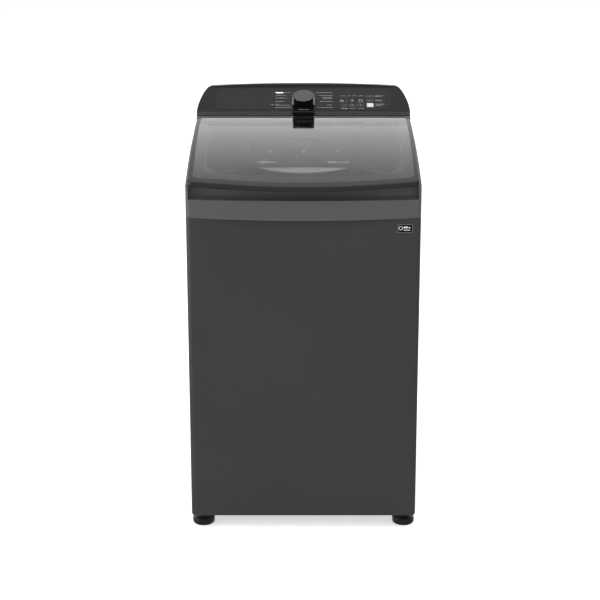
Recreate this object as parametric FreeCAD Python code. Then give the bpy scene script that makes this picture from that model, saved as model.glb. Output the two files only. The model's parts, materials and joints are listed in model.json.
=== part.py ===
"""Top load washing machine, as an assembly of separate solids, one STEP file for each named piece.

Units are millimetres. +Z is up, -Y is the front, and the origin is on the floor under the middle of the machine.
"""

import FreeCAD, Part
import math
import os

V = FreeCAD.Vector

# ---------------------------------------------------------------- driving dimensions
WIDTH = 600.0                   # outside width of the cabinet
FRONT_Y, REAR_Y = -305.0, 304.0  # the cabinet's flat front and its rear edge
REACH = 330.0                   # the lid's nose and the rear ports stand this far from the middle
CABINET_BOTTOM = 38.0
SEAM_Z = 846.0                  # cabinet to top cover, at the middle of the front
SEAM_RISE = 6.0                 # the seam is this much higher at the sides
SHEET = 1.0                     # steel sheet
WALL = 3.0                      # moulded plastic wall

LID_FRONT = (-330.0, 936.0)     # (y, z) of the lid's top surface at its front edge
LID_REAR = (156.0, 1043.4)
LID_CROWN = 22.0                # how far the lid's surface rises above a straight line
LID_THICK = 16.0
LID_GAP = 2.0                   # lid to top cover
LID_BOW = 25.0                  # the lid's front edge is bowed by this much in plan
LID_HALF_FRONT, LID_HALF_REAR = 294.0, 298.0
NOSE_OVER, NOSE_UNDER = 4.0, 7.0  # rounding of the lid's front edge, above and below
HINGE_Y, HINGE_Z = 140.0, 1031.5
HINGE_SWEEP = 22.0              # clear radius round the hinge for the lid's rear edge
TROUGH_HALF = 288.5             # half length of the trough that the lid's rear edge turns down into
CORNER_R = 11.4                 # the lid's two rear corners end this close round the hinge
CORNER_CLEAR = 14.6             # room behind the hinge for them while the lid stands open
PIN_R = 3.0
EYE_R = 5.0                     # hinge bracket's eye
BRACKET = (256.0, 268.0)        # each bracket's sides, out from the middle

LIP_Y = 168.0                   # front of the console
CONSOLE_Z = 1044.6              # underside of the console
FACE_SLOPE = math.radians(28.0)
FACE_START = (173.0, 1062.0)    # (y, z) where the sloping face begins
FACE_LENGTH = 119.0
KNOB_UP, KNOB_R = 34.5, 31.0    # distance of the knob up the face, and its radius
HUB_HIGH, KNOB_HIGH = 7.0, 27.0

BAND_TOP = 899.0                # the top cover's bowed front ends here, below the grip recess
BAND_BOW = 13.0                 # how far that front stands out at its middle
BAND_BULGE = 2.0                # and how far it is rounded from its lower to its upper edge
GRIP_HALF, GRIP_DEPTH, GRIP_SCOOP = 292.0, 24.0, 18.0

WELL_FLOOR = 901.0              # funnel floor in the top cover, round the opening
OPENING_R = 214.0
RIM_LOW = 884.0

TUB_R, TUB_LOW, TUB_TOP = 272.0, 286.0, 856.0
BASKET_R, BASKET_LOW, BASKET_TOP = 252.0, 318.0, 800.0
BASKET_SHEET = 1.2
RING_R, RING_TOP = 206.0, 852.0  # balance ring
ROD_AT = 226.0                  # suspension rods stand at plus and minus this in x and y
EAR_Z, CUP_Z = 322.0, 236.0

FOOT_X, FOOT_FRONT_Y, FOOT_REAR_Y, FOOT_R = 270.0, -255.0, 254.0, 30.0
MOTOR_AT, MOTOR_R = (-165.0, 62.0), 54.0
PULLEY_Z = 118.0
BIG_PULLEY_R, SMALL_PULLEY_R = 75.0, 20.0

DRAWER_HALF, DRAWER_LOW, DRAWER_TOP = 137.5, 911.0, 982.0
DRAWER_FRONT, DRAWER_BACK = 131.0, 262.0

FAR = 900.0                     # longer than the machine is in any direction but up


# ---------------------------------------------------------------- helpers
def box(x0, x1, y0, y1, z0, z1):
    return Part.makeBox(x1 - x0, y1 - y0, z1 - z0, V(x0, y0, z0))


def rod(radius, start, end):
    """A round bar from one point to another."""
    a, b = V(*start), V(*end)
    return Part.makeCylinder(radius, (b - a).Length, a, b - a)


def upright(radius, x, y, z0, z1):
    return rod(radius, (x, y, z0), (x, y, z1))


def tube(outer, inner, x, y, z0, z1):
    return upright(outer, x, y, z0, z1).cut(upright(inner, x, y, z0 - 1, z1 + 1))


def fuse(shapes):
    shapes = list(shapes)
    return shapes[0].multiFuse(shapes[1:]).removeSplitter() if len(shapes) > 1 else shapes[0]


def face_of(edges):
    return Part.Face(Part.Wire(edges))


def line(a, b):
    return Part.LineSegment(a, b).toShape()


def arc(a, middle, b):
    return Part.Arc(a, middle, b).toShape()


def rounded(x0, x1, y0, y1, radius, z):
    """The wire of a rounded rectangle in a level plane."""
    k = radius * (1 - math.sqrt(0.5))
    return Part.Wire([
        line(V(x0 + radius, y0, z), V(x1 - radius, y0, z)),
        arc(V(x1 - radius, y0, z), V(x1 - k, y0 + k, z), V(x1, y0 + radius, z)),
        line(V(x1, y0 + radius, z), V(x1, y1 - radius, z)),
        arc(V(x1, y1 - radius, z), V(x1 - k, y1 - k, z), V(x1 - radius, y1, z)),
        line(V(x1 - radius, y1, z), V(x0 + radius, y1, z)),
        arc(V(x0 + radius, y1, z), V(x0 + k, y1 - k, z), V(x0, y1 - radius, z)),
        line(V(x0, y1 - radius, z), V(x0, y0 + radius, z)),
        arc(V(x0, y0 + radius, z), V(x0 + k, y0 + k, z), V(x0 + radius, y0, z)),
    ])


def rounded_block(x0, x1, y0, y1, radius, z0, z1):
    return Part.Face(rounded(x0, x1, y0, y1, radius, z0)).extrude(V(0, 0, z1 - z0))


def turned(points):
    """A ring or solid turned about the vertical axis from (radius, z) corners."""
    corners = [V(r, 0, z) for r, z in points]
    profile = Part.Face(Part.makePolygon(corners + corners[:1]))
    return profile.revolve(V(0, 0, 0), V(0, 0, 1), 360)


def mirrored(shape, x=True, y=False):
    """The shape, with its copies across the middle of the machine."""
    shapes = [shape]
    if x:
        shapes += [s.mirror(V(0, 0, 0), V(1, 0, 0)) for s in shapes]
    if y:
        shapes += [s.mirror(V(0, 0, 0), V(0, 1, 0)) for s in shapes]
    return Part.Compound(shapes)


def save(name, shape):
    solids = shape.Solids
    problem = [s for s in solids if not s.isValid() or s.Volume <= 0]
    print(f"{name}: {len(solids)} solid(s), {sum(s.Volume for s in solids) / 1000:.1f} cm3",
          "NOT VALID" if problem or not solids else "")
    (solids[0] if len(solids) == 1 else Part.Compound(solids)).exportStep(f"parts/{name}.step")


# ---------------------------------------------------------------- shared surfaces
def seam_cylinder(lift):
    """All that is above the seam between cabinet and top cover, raised by lift."""
    half = WIDTH / 2
    radius = (half * half + SEAM_RISE * SEAM_RISE) / (2 * SEAM_RISE)
    centre = SEAM_Z + radius
    return rod(radius - lift, (0, -FAR, centre), (0, FAR, centre))


def lid_circle():
    """Centre (y, z) and radius of the arc that the lid's surface follows from front to rear."""
    dy, dz = LID_REAR[0] - LID_FRONT[0], LID_REAR[1] - LID_FRONT[1]
    chord = math.hypot(dy, dz)
    radius = (chord * chord / 4 + LID_CROWN * LID_CROWN) / (2 * LID_CROWN)
    down = radius - LID_CROWN
    return ((LID_FRONT[0] + LID_REAR[0]) / 2 + dz / chord * down,
            (LID_FRONT[1] + LID_REAR[1]) / 2 - dy / chord * down, radius)


def under_lid(depth):
    """All that is more than depth below the lid's top surface."""
    y, z, radius = lid_circle()
    return rod(radius - depth, (-FAR, y, z), (FAR, y, z))


def lid_height(y):
    cy, cz, radius = lid_circle()
    return cz + math.sqrt(radius * radius - (y - cy) ** 2)


def lid_outline(inset, front_inset, rear, low=880.0, high=1080.0):
    """A prism of the lid's plan shape: straight rear, tapering sides, bowed front with round corners."""
    front, corner = -REACH + front_inset, 12.0
    a, b = LID_HALF_FRONT - inset, LID_HALF_REAR - inset
    side = front + LID_BOW
    edges = [
        arc(V(-a, side, low), V(0, front, low), V(a, side, low)),
        line(V(a, side, low), V(b, rear, low)),
        line(V(b, rear, low), V(-b, rear, low)),
        line(V(-b, rear, low), V(-a, side, low)),
    ]
    solid = face_of(edges).extrude(V(0, 0, high - low))
    corners = [e for e in solid.Edges if abs(e.BoundBox.ZLength - (high - low)) < 0.01 and e.BoundBox.YMin < 0]
    return solid.makeFillet(corner, corners)


def face_point(up, out=0.0, x=0.0):
    """A point on the console's sloping face, up from its front edge and out along its normal."""
    c, s = math.cos(FACE_SLOPE), math.sin(FACE_SLOPE)
    return V(x, FACE_START[0] + up * c - out * s, FACE_START[1] + up * s + out * c)


FACE_NORMAL = V(0, -math.sin(FACE_SLOPE), math.cos(FACE_SLOPE))


def face_block(x0, x1, up0, up1, out0, out1, radius=0.0):
    """A block that stands square on the console's face."""
    if radius:
        block = rounded_block(x0, x1, up0, up1, radius, out0, out1)
    else:
        block = box(x0, x1, up0, up1, out0, out1)
    block.rotate(V(0, 0, 0), V(1, 0, 0), math.degrees(FACE_SLOPE))
    block.translate(V(0, FACE_START[0], FACE_START[1]))
    return block


def face_rod(radius, x, up, out0, out1):
    return rod(radius, tuple(face_point(up, out0, x)), tuple(face_point(up, out1, x)))


# ---------------------------------------------------------------- cabinet and base
def cabinet_block(inset, bottom):
    """The cabinet's filled outer shape, with round front corners and a rounded bottom edge."""
    half, corner, turn = WIDTH / 2 - inset, 14.0 - inset, 5.0 - inset
    block = box(-half, half, FRONT_Y + inset, REAR_Y + (0 if inset == 0 else -inset), bottom, 880)
    upright_edges = [e for e in block.Edges if e.BoundBox.ZLength > 100 and e.BoundBox.YMax < 0]
    block = block.makeFillet(corner, upright_edges)
    low = [e for e in block.Edges if e.BoundBox.ZMax < bottom + 0.01 and e.BoundBox.YMin < REAR_Y - 20]
    return block.makeFillet(turn, low)


def make_cabinet():
    wrap = cabinet_block(0, CABINET_BOTTOM).cut(cabinet_block(SHEET, CABINET_BOTTOM + SHEET))
    flange = 16.0
    open_bottom = box(-WIDTH / 2 + flange, WIDTH / 2 - flange, FRONT_Y + flange, REAR_Y - flange, 0, 60)
    open_rear = box(-WIDTH / 2 + 20, WIDTH / 2 - 20, REAR_Y - 20, REAR_Y + 1, CABINET_BOTTOM + 22, 900)
    wrap = wrap.cut(open_bottom).cut(open_rear).cut(seam_cylinder(0))
    save("cabinet_wrap", wrap)


REAR_PANEL_SCREWS = [(x, z) for z in (75, 250, 450, 650, 815) for x in (-286, 286)]
DRAIN_AT = (205.0, 150.0)
GLAND_AT = (-225.0, 770.0)
PANEL_RISE = 4.0
RAISED = (-258.0, 258.0, 110.0, 800.0)   # x and z limits of the pressed field


def make_rear_panel():
    y0, y1 = REAR_Y, REAR_Y + SHEET
    plate = box(-294, 294, y0, y1, 64, 864)
    x0, x1, z0, z1 = RAISED
    field = box(x0, x1, y0, y1 + PANEL_RISE, z0, z1)
    field = field.makeChamfer(PANEL_RISE - 0.5, [e for e in field.Edges
                              if e.BoundBox.YMin > y1 + PANEL_RISE - 0.01])
    hollow = box(x0 + 3, x1 - 3, y0 - 1, y1 + PANEL_RISE - SHEET, z0 + 3, z1 - 3)
    panel = plate.fuse(field).cut(hollow)
    for i in range(9):
        z = 560 + 16 * i
        panel = panel.cut(box(-60, 60, y0 - 1, REACH, z, z + 5))
    panel = panel.cut(rod(19, (DRAIN_AT[0], y0 - 1, DRAIN_AT[1]), (DRAIN_AT[0], REACH, DRAIN_AT[1])))
    panel = panel.cut(rod(8.2, (GLAND_AT[0], y0 - 1, GLAND_AT[1]), (GLAND_AT[0], REACH, GLAND_AT[1])))
    save("rear_panel", panel)

    heads = [rod(4.5, (x, y1, z), (x, y1 + 2.4, z)) for x, z in REAR_PANEL_SCREWS]
    for x in (-272, -90, 90, 272):
        heads.append(rod(4.5, (x, y1, 857), (x, y1 + 2.4, 857)))
    save("cabinet_screws", Part.Compound(heads))


def channel(x0, x1, y0, y1, z0, z1, gauge=2.0):
    """A folded steel rail, open at the top and with closed ends."""
    return box(x0, x1, y0, y1, z0, z1).cut(box(x0 + gauge, x1 - gauge, y0 + gauge, y1 - gauge, z0 + gauge, z1 + 1))


def foot_places():
    return {"front_left": (-FOOT_X, FOOT_FRONT_Y), "front_right": (FOOT_X, FOOT_FRONT_Y),
            "rear_left": (-FOOT_X, FOOT_REAR_Y), "rear_right": (FOOT_X, FOOT_REAR_Y)}


def make_base():
    low, high = CABINET_BOTTOM + SHEET + 0.2, 60.0
    side = channel(246, 296, FRONT_Y + 10, REAR_Y - 2.5, low, high)
    sides = mirrored(side)
    for x, y in foot_places().values():
        sides = sides.cut(upright(7, x, y, 30, 62))
    save("base_side_rails", sides)
    front = channel(-245.5, 245.5, FRONT_Y + 6, FRONT_Y + 46, low, high)
    rear = channel(-245.5, 245.5, REAR_Y - 42, REAR_Y - 2.5, low, high)
    save("base_cross_rails", Part.Compound([front, rear]))

    nuts, plates = [], []
    for x, y in foot_places().values():
        plate = box(x - 21, x + 21, y - 24, y + 24, low + 2, low + 10)
        plate = plate.fuse(upright(12, x, y, low + 10, low + 24))
        plates.append(plate.cut(upright(5.06, x, y, low, low + 30)))
        flats = [V(x + 10 * math.cos(math.radians(60 * i)), y + 10 * math.sin(math.radians(60 * i)), 29.5)
                 for i in range(7)]
        nut = Part.Face(Part.makePolygon(flats)).extrude(V(0, 0, 8))
        nuts.append(nut.cut(upright(5.06, x, y, 20, 50)))
    save("foot_thread_plates", Part.Compound(plates))
    save("foot_lock_nuts", Part.Compound(nuts))

    for name, (x, y) in foot_places().items():
        pad = upright(FOOT_R, x, y, 0, 20)
        pad = pad.makeFillet(6, [e for e in pad.Edges if e.BoundBox.ZMax < 1 and e.BoundBox.XLength > 10])
        pad = pad.makeFillet(3, [e for e in pad.Edges if e.BoundBox.ZMin > 19 and e.BoundBox.XLength > 10])
        neck = Part.makeCone(22, 13, 7, V(x, y, 20))
        stud = upright(5, x, y, 27, 96)
        save(f"foot_{name}", fuse([pad, neck, stud]))


def make_top_brackets():
    """Four corner plates that carry the suspension rods."""
    z0, z1 = 802.0, 805.0
    points = [(298.8, -303.8), (298.8, -118), (118, -303.8)]
    plate = Part.Face(Part.makePolygon([V(x, y, z0) for x, y in points + points[:1]])).extrude(V(0, 0, z1 - z0))
    tab_side = box(294, 298.8, -290, -130, z0 - 24, z1)
    tab_front = box(130, 286, -303.8, -299, z0 - 24, z1)
    bracket = fuse([plate, tab_side, tab_front]).cut(upright(6, ROD_AT, -ROD_AT, z0 - 5, z1 + 5))
    bracket = bracket.cut(cabinet_corner_space())
    front = mirrored(bracket)
    rear = front.mirror(V(0, 0, 0), V(0, 1, 0))
    rear.translate(V(0, -1.0, 0))
    rear = rear.cut(Part.Compound([upright(6, x, ROD_AT, z0 - 5, z1 + 5) for x in (-ROD_AT, ROD_AT)]))
    save("top_corner_brackets", Part.Compound(front.Solids + rear.Solids))


def cabinet_corner_space():
    """What lies outside the inner face of the sheet at the front corners."""
    shell = box(-FAR, FAR, -FAR, FAR, 700, 870)
    return shell.cut(cabinet_block(SHEET + 0.2, CABINET_BOTTOM + SHEET))


# ---------------------------------------------------------------- top cover
def cover_prism(inset, low, high):
    """The top cover's plan shape, with a bowed front, drawn in by inset."""
    half, front, rear, corner = WIDTH / 2 - inset, FRONT_Y + inset, REAR_Y - inset, 14.0
    edges = [
        arc(V(-half, front, low), V(0, front - BAND_BOW, low), V(half, front, low)),
        line(V(half, front, low), V(half, rear, low)),
        line(V(half, rear, low), V(-half, rear, low)),
        line(V(-half, rear, low), V(-half, front, low)),
    ]
    solid = face_of(edges).extrude(V(0, 0, high - low))
    tall = [e for e in solid.Edges if e.BoundBox.ZLength > 10 and e.BoundBox.YMin < 0]
    return solid.makeFillet(corner - inset, tall)


def band_barrel():
    """A great drum whose side bulges like the top cover's front band."""
    half = WIDTH / 2
    drum = (half * half + BAND_BOW * BAND_BOW) / (2 * BAND_BOW)
    low, high = SEAM_Z - 12, 1100.0
    middle = (SEAM_Z + BAND_TOP) / 2 + 2
    span = BAND_TOP - SEAM_Z
    centre_y = FRONT_Y - BAND_BOW + drum
    points = [V(0, centre_y + drum - BAND_BULGE, middle - span / 2), V(0, centre_y + drum, middle),
              V(0, centre_y + drum - BAND_BULGE, middle + span / 2)]
    axis_low, axis_high = V(0, centre_y, low), V(0, centre_y, high)
    foot = V(0, points[0].y, low)
    head = V(0, points[2].y, high)
    profile = face_of([line(axis_low, foot), line(foot, points[0]), arc(*points), line(points[2], head),
                       line(head, axis_high), line(axis_high, axis_low)])
    return profile.revolve(V(0, centre_y, 0), V(0, 0, 1), 360)


def well(grow):
    """The space under the lid, a funnel with upright rounded corners, grown by the wall's thickness."""
    top = rounded(-264 - grow, 264 + grow, -276 - grow, 146 + grow, 60 + grow, 1100)
    bottom = rounded(-248 - grow, 248 + grow, -252 - grow, 142 + grow, 110 + grow, WELL_FLOOR - grow)
    return Part.makeLoft([bottom, top], True, True)


def make_top_cover():
    low, high = SEAM_Z - 10, CONSOLE_Z - 0.4
    under = under_lid(LID_THICK + LID_GAP)
    block = cover_prism(0, low, high)
    front = block.common(under).common(box(-FAR, FAR, -FAR, 151, 0, high))
    rear = block.common(box(-FAR, FAR, 151, FAR, 0, high))
    solid = front.fuse(rear).removeSplitter().common(seam_cylinder(0.6)).common(band_barrel())

    # Inside faces: a shell under the deck, and the funnel's own wall left standing in it.
    pocket = cover_prism(WALL, low - 1, high - WALL)
    pocket_front = pocket.common(under_lid(LID_THICK + LID_GAP + WALL)).common(box(-FAR, FAR, -FAR, 154, 0, high))
    pocket_rear = pocket.common(box(-FAR, FAR, 150, FAR, 0, high))
    grip = grip_recess(WALL)
    hollow = pocket_front.fuse(pocket_rear).cut(well(WALL)).cut(grip)
    trough = across(HINGE_SWEEP, TROUGH_HALF)
    hollow = hollow.cut(across(HINGE_SWEEP + WALL, TROUGH_HALF + WALL))
    hollow = hollow.cut(tube(OPENING_R + WALL, OPENING_R, 0, 0, RIM_LOW, WELL_FLOOR))
    solid = solid.cut(hollow).cut(well(0)).cut(trough).cut(grip_recess(0))
    solid = solid.cut(box(-TROUGH_HALF, TROUGH_HALF, HINGE_Y, HINGE_Y + HINGE_SWEEP, HINGE_Z, high + 1))
    solid = solid.cut(upright(OPENING_R, 0, 0, RIM_LOW - 5, WELL_FLOOR + 5))
    # Round pockets that the lid's rear corners turn in.
    solid = solid.cut(across(CORNER_R + 0.8, WIDTH / 2 + 2))
    solid = solid.cut(box(-FAR, FAR, HINGE_Y, HINGE_Y + CORNER_CLEAR, HINGE_Z, high + 1))
    # Slot for the drawer, holes for the water valves, and the slot over the lid lock.
    solid = solid.cut(box(-DRAWER_HALF - 3, DRAWER_HALF + 3, 138, 156, DRAWER_LOW - 3, DRAWER_TOP + 3))
    for x in VALVE_X:
        solid = solid.cut(rod(VALVE_R + 0.3, (x, REAR_Y - 10, VALVE_Z), (x, REAR_Y + 5, VALVE_Z)))
    solid = solid.cut(latch_slot())
    # Sockets for the hinge brackets' feet.
    solid = solid.cut(bracket_legs(0.2, LEG_LOW - 5))
    brow = [e for e in solid.Edges if abs(e.BoundBox.ZMin - BAND_TOP) < 0.05 and e.BoundBox.ZLength < 0.1
            and e.BoundBox.YMax < FRONT_Y + 2 and e.BoundBox.XLength > WIDTH / 2]
    save("top_cover", solid.makeFillet(3.0, brow))


def across(radius, half):
    """A round bar along the hinge's axis, half long on each side of the middle."""
    return rod(radius, (-half, HINGE_Y, HINGE_Z), (half, HINGE_Y, HINGE_Z))


def grip_recess(margin):
    """The finger space below the lid's nose: a bowed scoop across the front of the top cover."""
    half, depth, low = GRIP_HALF + margin, GRIP_DEPTH + margin, BAND_TOP - margin
    outer = -REACH - 20
    inner = FRONT_Y - BAND_BOW + depth
    edges = [
        arc(V(-half, inner + 12, low), V(0, inner, low), V(half, inner + 12, low)),
        line(V(half, inner + 12, low), V(half, outer, low)),
        line(V(half, outer, low), V(-half, outer, low)),
        line(V(-half, outer, low), V(-half, inner + 12, low)),
    ]
    block = face_of(edges).extrude(V(0, 0, 60))
    inner_edges = [e for e in block.Edges if e.BoundBox.ZMax < low + 0.01 and e.BoundBox.YMin > inner - 0.5
                   and e.BoundBox.XLength > 100]
    return block.makeFillet(GRIP_SCOOP, inner_edges) if margin == 0 else block.makeChamfer(9.0, inner_edges)


LATCH_AT = (279.0, -40.0)        # (x, y) of the lid's latch tongue


TONGUE = 34.0                    # length of the latch tongue below the lid


def latch_slot():
    x, y = LATCH_AT
    return box(x - 4, x + 4, y - 22, y + 14, 930, 1020)


def make_lid_lock():
    x, y = LATCH_AT
    top = lid_height(y - 45) - LID_THICK - LID_GAP - WALL - 1
    body = box(x - 8.5, x + 12, y - 45, y + 30, top - 40, top)
    save("lid_lock", body.cut(box(x - 4, x + 4, y - 22, y + 14, top - 34, top + 1)))


def make_lid_bumpers():
    pads = []
    for x, y in ((280, -250), (280, 60)):
        shell = under_lid(LID_THICK + 0.15).cut(under_lid(LID_THICK + LID_GAP))
        pads.append(upright(5, x, y, 850, 1100).common(shell))
    save("lid_bumpers", Part.Compound([s for p in pads for s in mirrored(p).Solids]))


# ---------------------------------------------------------------- lid
GLASS_THICK = 4.0
GLASS_INSET, GLASS_FRONT_INSET, GLASS_REAR = 12.0, 20.0, 153.0


def lid_rear_trim():
    """What lies outside the round end of the lid's two rear corners."""
    keep = across(CORNER_R, FAR)
    trims = []
    for side in (-1, 1):
        x0, x1 = sorted((side * (TROUGH_HALF - 1.5), side * 310))
        trims.append(box(x0, x1, HINGE_Y, HINGE_Y + 40, 1000, 1060).cut(keep))
    return Part.Compound(trims)


def bracket_notches():
    """Slots under the lid's rear edge for the hinge brackets, open to the rear through the whole swing."""
    notches = []
    for side in (-1, 1):
        x0, x1 = sorted((side * (BRACKET[0] - 1.5), side * (BRACKET[1] + 1.5)))
        notches.append(box(x0, x1, HINGE_Y - 8.5, HINGE_Y + 30, HINGE_Z - 20, HINGE_Z + EYE_R + 0.6))
    return Part.Compound(notches)


def make_lid():
    body = lid_outline(0, 0, LID_REAR[0]).common(under_lid(0)).cut(under_lid(LID_THICK))
    nose = [e for e in body.Edges if e.BoundBox.YMin < -REACH + 0.5 and e.BoundBox.XLength > 400]
    nose.sort(key=lambda e: e.BoundBox.ZMin)
    body = body.makeFillet(NOSE_UNDER, nose[:1])
    upper = [e for e in body.Edges if e.BoundBox.YMin < -REACH + 0.5 and e.BoundBox.XLength > 400]
    upper.sort(key=lambda e: e.BoundBox.ZMin)
    body = body.makeFillet(NOSE_OVER, upper[-1:])
    rebate = lid_outline(GLASS_INSET - 0.3, GLASS_FRONT_INSET - 0.3, GLASS_REAR + 0.3)
    rebate = rebate.cut(under_lid(GLASS_THICK + 0.6))
    window = lid_outline(GLASS_INSET + 22, GLASS_FRONT_INSET + 31, GLASS_REAR - 48)
    body = body.cut(rebate).cut(window).cut(lid_rear_trim()).cut(bracket_notches())
    for side in (-1, 1):
        body = body.cut(rod(PIN_R + 0.06, (side * 250, HINGE_Y, HINGE_Z), (side * 278, HINGE_Y, HINGE_Z)))
    x, y = LATCH_AT
    under = lid_height(y) - LID_THICK
    tongue = box(x - 2.5, x + 2.5, y - 9, y + 9, under - TONGUE, under + 6)
    tongue = tongue.cut(box(x - 5, x + 5, y - 4, y + 4, under - TONGUE + 4, under - TONGUE + 12))
    save("lid_frame", body.fuse(tongue))

    glass = lid_outline(GLASS_INSET, GLASS_FRONT_INSET, GLASS_REAR).common(under_lid(0.4))
    glass = glass.cut(under_lid(GLASS_THICK + 0.4))
    save("lid_glass", glass)

    pad = rounded_block(-30, 30, 131, 152.5, 4, 1000, 1100).common(under_lid(-6.0)).cut(under_lid(0.4))
    rim = [e for e in pad.Edges if e.BoundBox.ZMin > lid_height(141) + 4]
    save("lid_rear_pad", pad.makeFillet(1.5, rim))


LEG_LOW, LEG_LEAN, LEG_HALF = 994.0, math.tan(math.radians(15.0)), 4.0


def bracket_legs(grow, low):
    """The two brackets' legs, leaning forward so that the open lid's rear edge clears them."""
    legs = []
    for side in (-1, 1):
        x0, x1 = sorted((side * (BRACKET[0] - grow), side * (BRACKET[1] + grow)))
        wide = LEG_HALF + grow
        low_y = HINGE_Y - (HINGE_Z - low) * LEG_LEAN
        points = [(HINGE_Y - wide, HINGE_Z), (HINGE_Y + wide, HINGE_Z), (low_y + wide, low), (low_y - wide, low)]
        leg = Part.Face(Part.makePolygon([V(x0, y, z) for y, z in points + points[:1]]))
        legs.append(leg.extrude(V(x1 - x0, 0, 0)))
    return Part.Compound(legs)


def make_hinges():
    brackets, pins = [], []
    for side, leg in zip((-1, 1), bracket_legs(0, LEG_LOW).Solids):
        eye = rod(EYE_R, (side * BRACKET[0], HINGE_Y, HINGE_Z), (side * BRACKET[1], HINGE_Y, HINGE_Z))
        bracket = eye.fuse(leg).cut(across(PIN_R, 300))
        brackets.append(bracket)
        pins.append(rod(PIN_R, (side * 251, HINGE_Y, HINGE_Z), (side * 277, HINGE_Y, HINGE_Z)))
    save("hinge_brackets", Part.Compound(brackets))
    save("hinge_pins", Part.Compound(pins))


# ---------------------------------------------------------------- console
def console_side(inset):
    """The console seen from the side, as a prism across the machine, drawn in by inset."""
    c, s = math.cos(FACE_SLOPE), math.sin(FACE_SLOPE)
    y0, y1 = LIP_Y + inset, REAR_Y - inset
    low = CONSOLE_Z if inset == 0 else CONSOLE_Z - 1

    def on_face(up):
        return V(-FAR, FACE_START[0] + up * c + inset * s, FACE_START[1] + up * s - inset * c)

    start, end = on_face(0), on_face(FACE_LENGTH - 8)
    crown = V(-FAR, 291, 1124.5 - inset)
    rear_top = V(-FAR, y1, 1112 - inset)
    lip_top = V(-FAR, y0, start.z - (start.y - y0) * s / c - 8)
    knee = V(-FAR, y0 + 1.0, start.z - 3.6)
    edges = [
        line(V(-FAR, y0, low), lip_top), arc(lip_top, knee, start), line(start, end),
        arc(end, V(-FAR, 285.5, 1123.2 - inset), crown),
        arc(crown, V(-FAR, y1 - 3.2, 1120.6 - inset), rear_top),
        line(rear_top, V(-FAR, y1, low)), line(V(-FAR, y1, low), V(-FAR, y0, low)),
    ]
    return face_of(edges).extrude(V(2 * FAR, 0, 0))


def console_front(inset):
    """The console seen from the front, as a prism from front to rear, drawn in by inset."""
    low = CONSOLE_Z - 2
    k = inset

    def point(x, z):
        return V(x, -FAR, z)

    def half(s):
        return [
            (s * (WIDTH / 2 - k), low), (s * (WIDTH / 2 - k), 1052), (s * (293.2 - k), 1086),
            (s * (279 - k), 1108 - k * 0.6), (s * (271 - k), 1114.6 - k * 0.8), (s * (258 - k), 1118 - k),
        ]

    r = [point(*p) for p in half(1)]
    q = [point(*p) for p in half(-1)]
    edges = [
        line(q[0], r[0]), line(r[0], r[1]), arc(r[1], r[2], r[3]), arc(r[3], r[4], r[5]),
        arc(r[5], point(0, 1124.6 - k), q[5]), arc(q[5], q[4], q[3]), arc(q[3], q[2], q[1]), line(q[1], q[0]),
    ]
    return face_of(edges).extrude(V(0, 2 * FAR, 0))


# Each button: (x, distance up the face, width, height)
BUTTONS = {
    "button_soil_level": (114.8, 23.4, 17.0, 13.0),
    "button_water_temperature": (138.0, 23.4, 17.0, 13.0),
    "button_extra_rinse": (161.2, 23.4, 17.0, 13.0),
    "button_power": (188.3, 67.3, 18.5, 13.0),
    "button_delay_start": (188.3, 46.6, 18.5, 12.0),
    "button_start_pause": (188.3, 24.3, 18.5, 19.0),
}
BUTTON_GAP = 0.5
OVERLAY = (-245.0, 245.0, 4.0, 103.0)    # x limits and distances up the face
VALVE_X, VALVE_Z, VALVE_R = (-215.0, -165.0), 965.0, 16.0


def overlay_block(shrink, out0, out1):
    x0, x1, u0, u1 = OVERLAY
    return face_block(x0 + shrink, x1 - shrink, u0 + shrink, u1 - shrink, out0, out1, 20.0 - shrink)


def button_block(name, grow, out0, out1):
    x, up, wide, tall = BUTTONS[name]
    return face_block(x - wide / 2 - grow, x + wide / 2 + grow, up - tall / 2 - grow, up + tall / 2 + grow,
                      out0, out1, 1.6 + grow)


def make_console():
    shell = console_side(0).common(console_front(0))
    shell = shell.cut(console_side(WALL).common(console_front(WALL)))
    shell = shell.cut(overlay_block(-0.2, -1.0, 5.0))
    overlay = overlay_block(0, -1.0, 0.3)
    for name in BUTTONS:
        hole = button_block(name, BUTTON_GAP, -10, 5)
        shell, overlay = shell.cut(hole), overlay.cut(hole)
    shaft_hole = face_rod(3.07, 0, KNOB_UP, -12, 12)
    hub_seat = face_rod(KNOB_R + 0.2, 0, KNOB_UP, -1.0, 5.0).fuse(tongue_block(0.2, 1.0))
    shell = shell.cut(shaft_hole)
    overlay = overlay.cut(shaft_hole).cut(hub_seat)
    save("console_housing", shell)
    save("control_overlay", overlay)

    hub = face_rod(KNOB_R, 0, KNOB_UP, -0.9, HUB_HIGH).fuse(tongue_block(0, 0))
    hub = hub.cut(console_side(0).cut(overlay_block(-0.2, -1.0, 5.0)))
    hub = hub.cut(face_rod(3.07, 0, KNOB_UP, -12, 12))
    save("knob_hub", max(hub.Solids, key=lambda s: s.Volume))


def tongue_block(side_gap, lower):
    """The hub's skirt: it runs down from the knob over the console's front edge."""
    half = KNOB_R - 0.2 + side_gap
    skirt = console_side(-2.6).common(box(-half, half, 100, 190, CONSOLE_Z + 2 - lower, 1080))
    return skirt.common(box(-half, half, 100, face_point(KNOB_UP).y, 1000, 1100))


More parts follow.
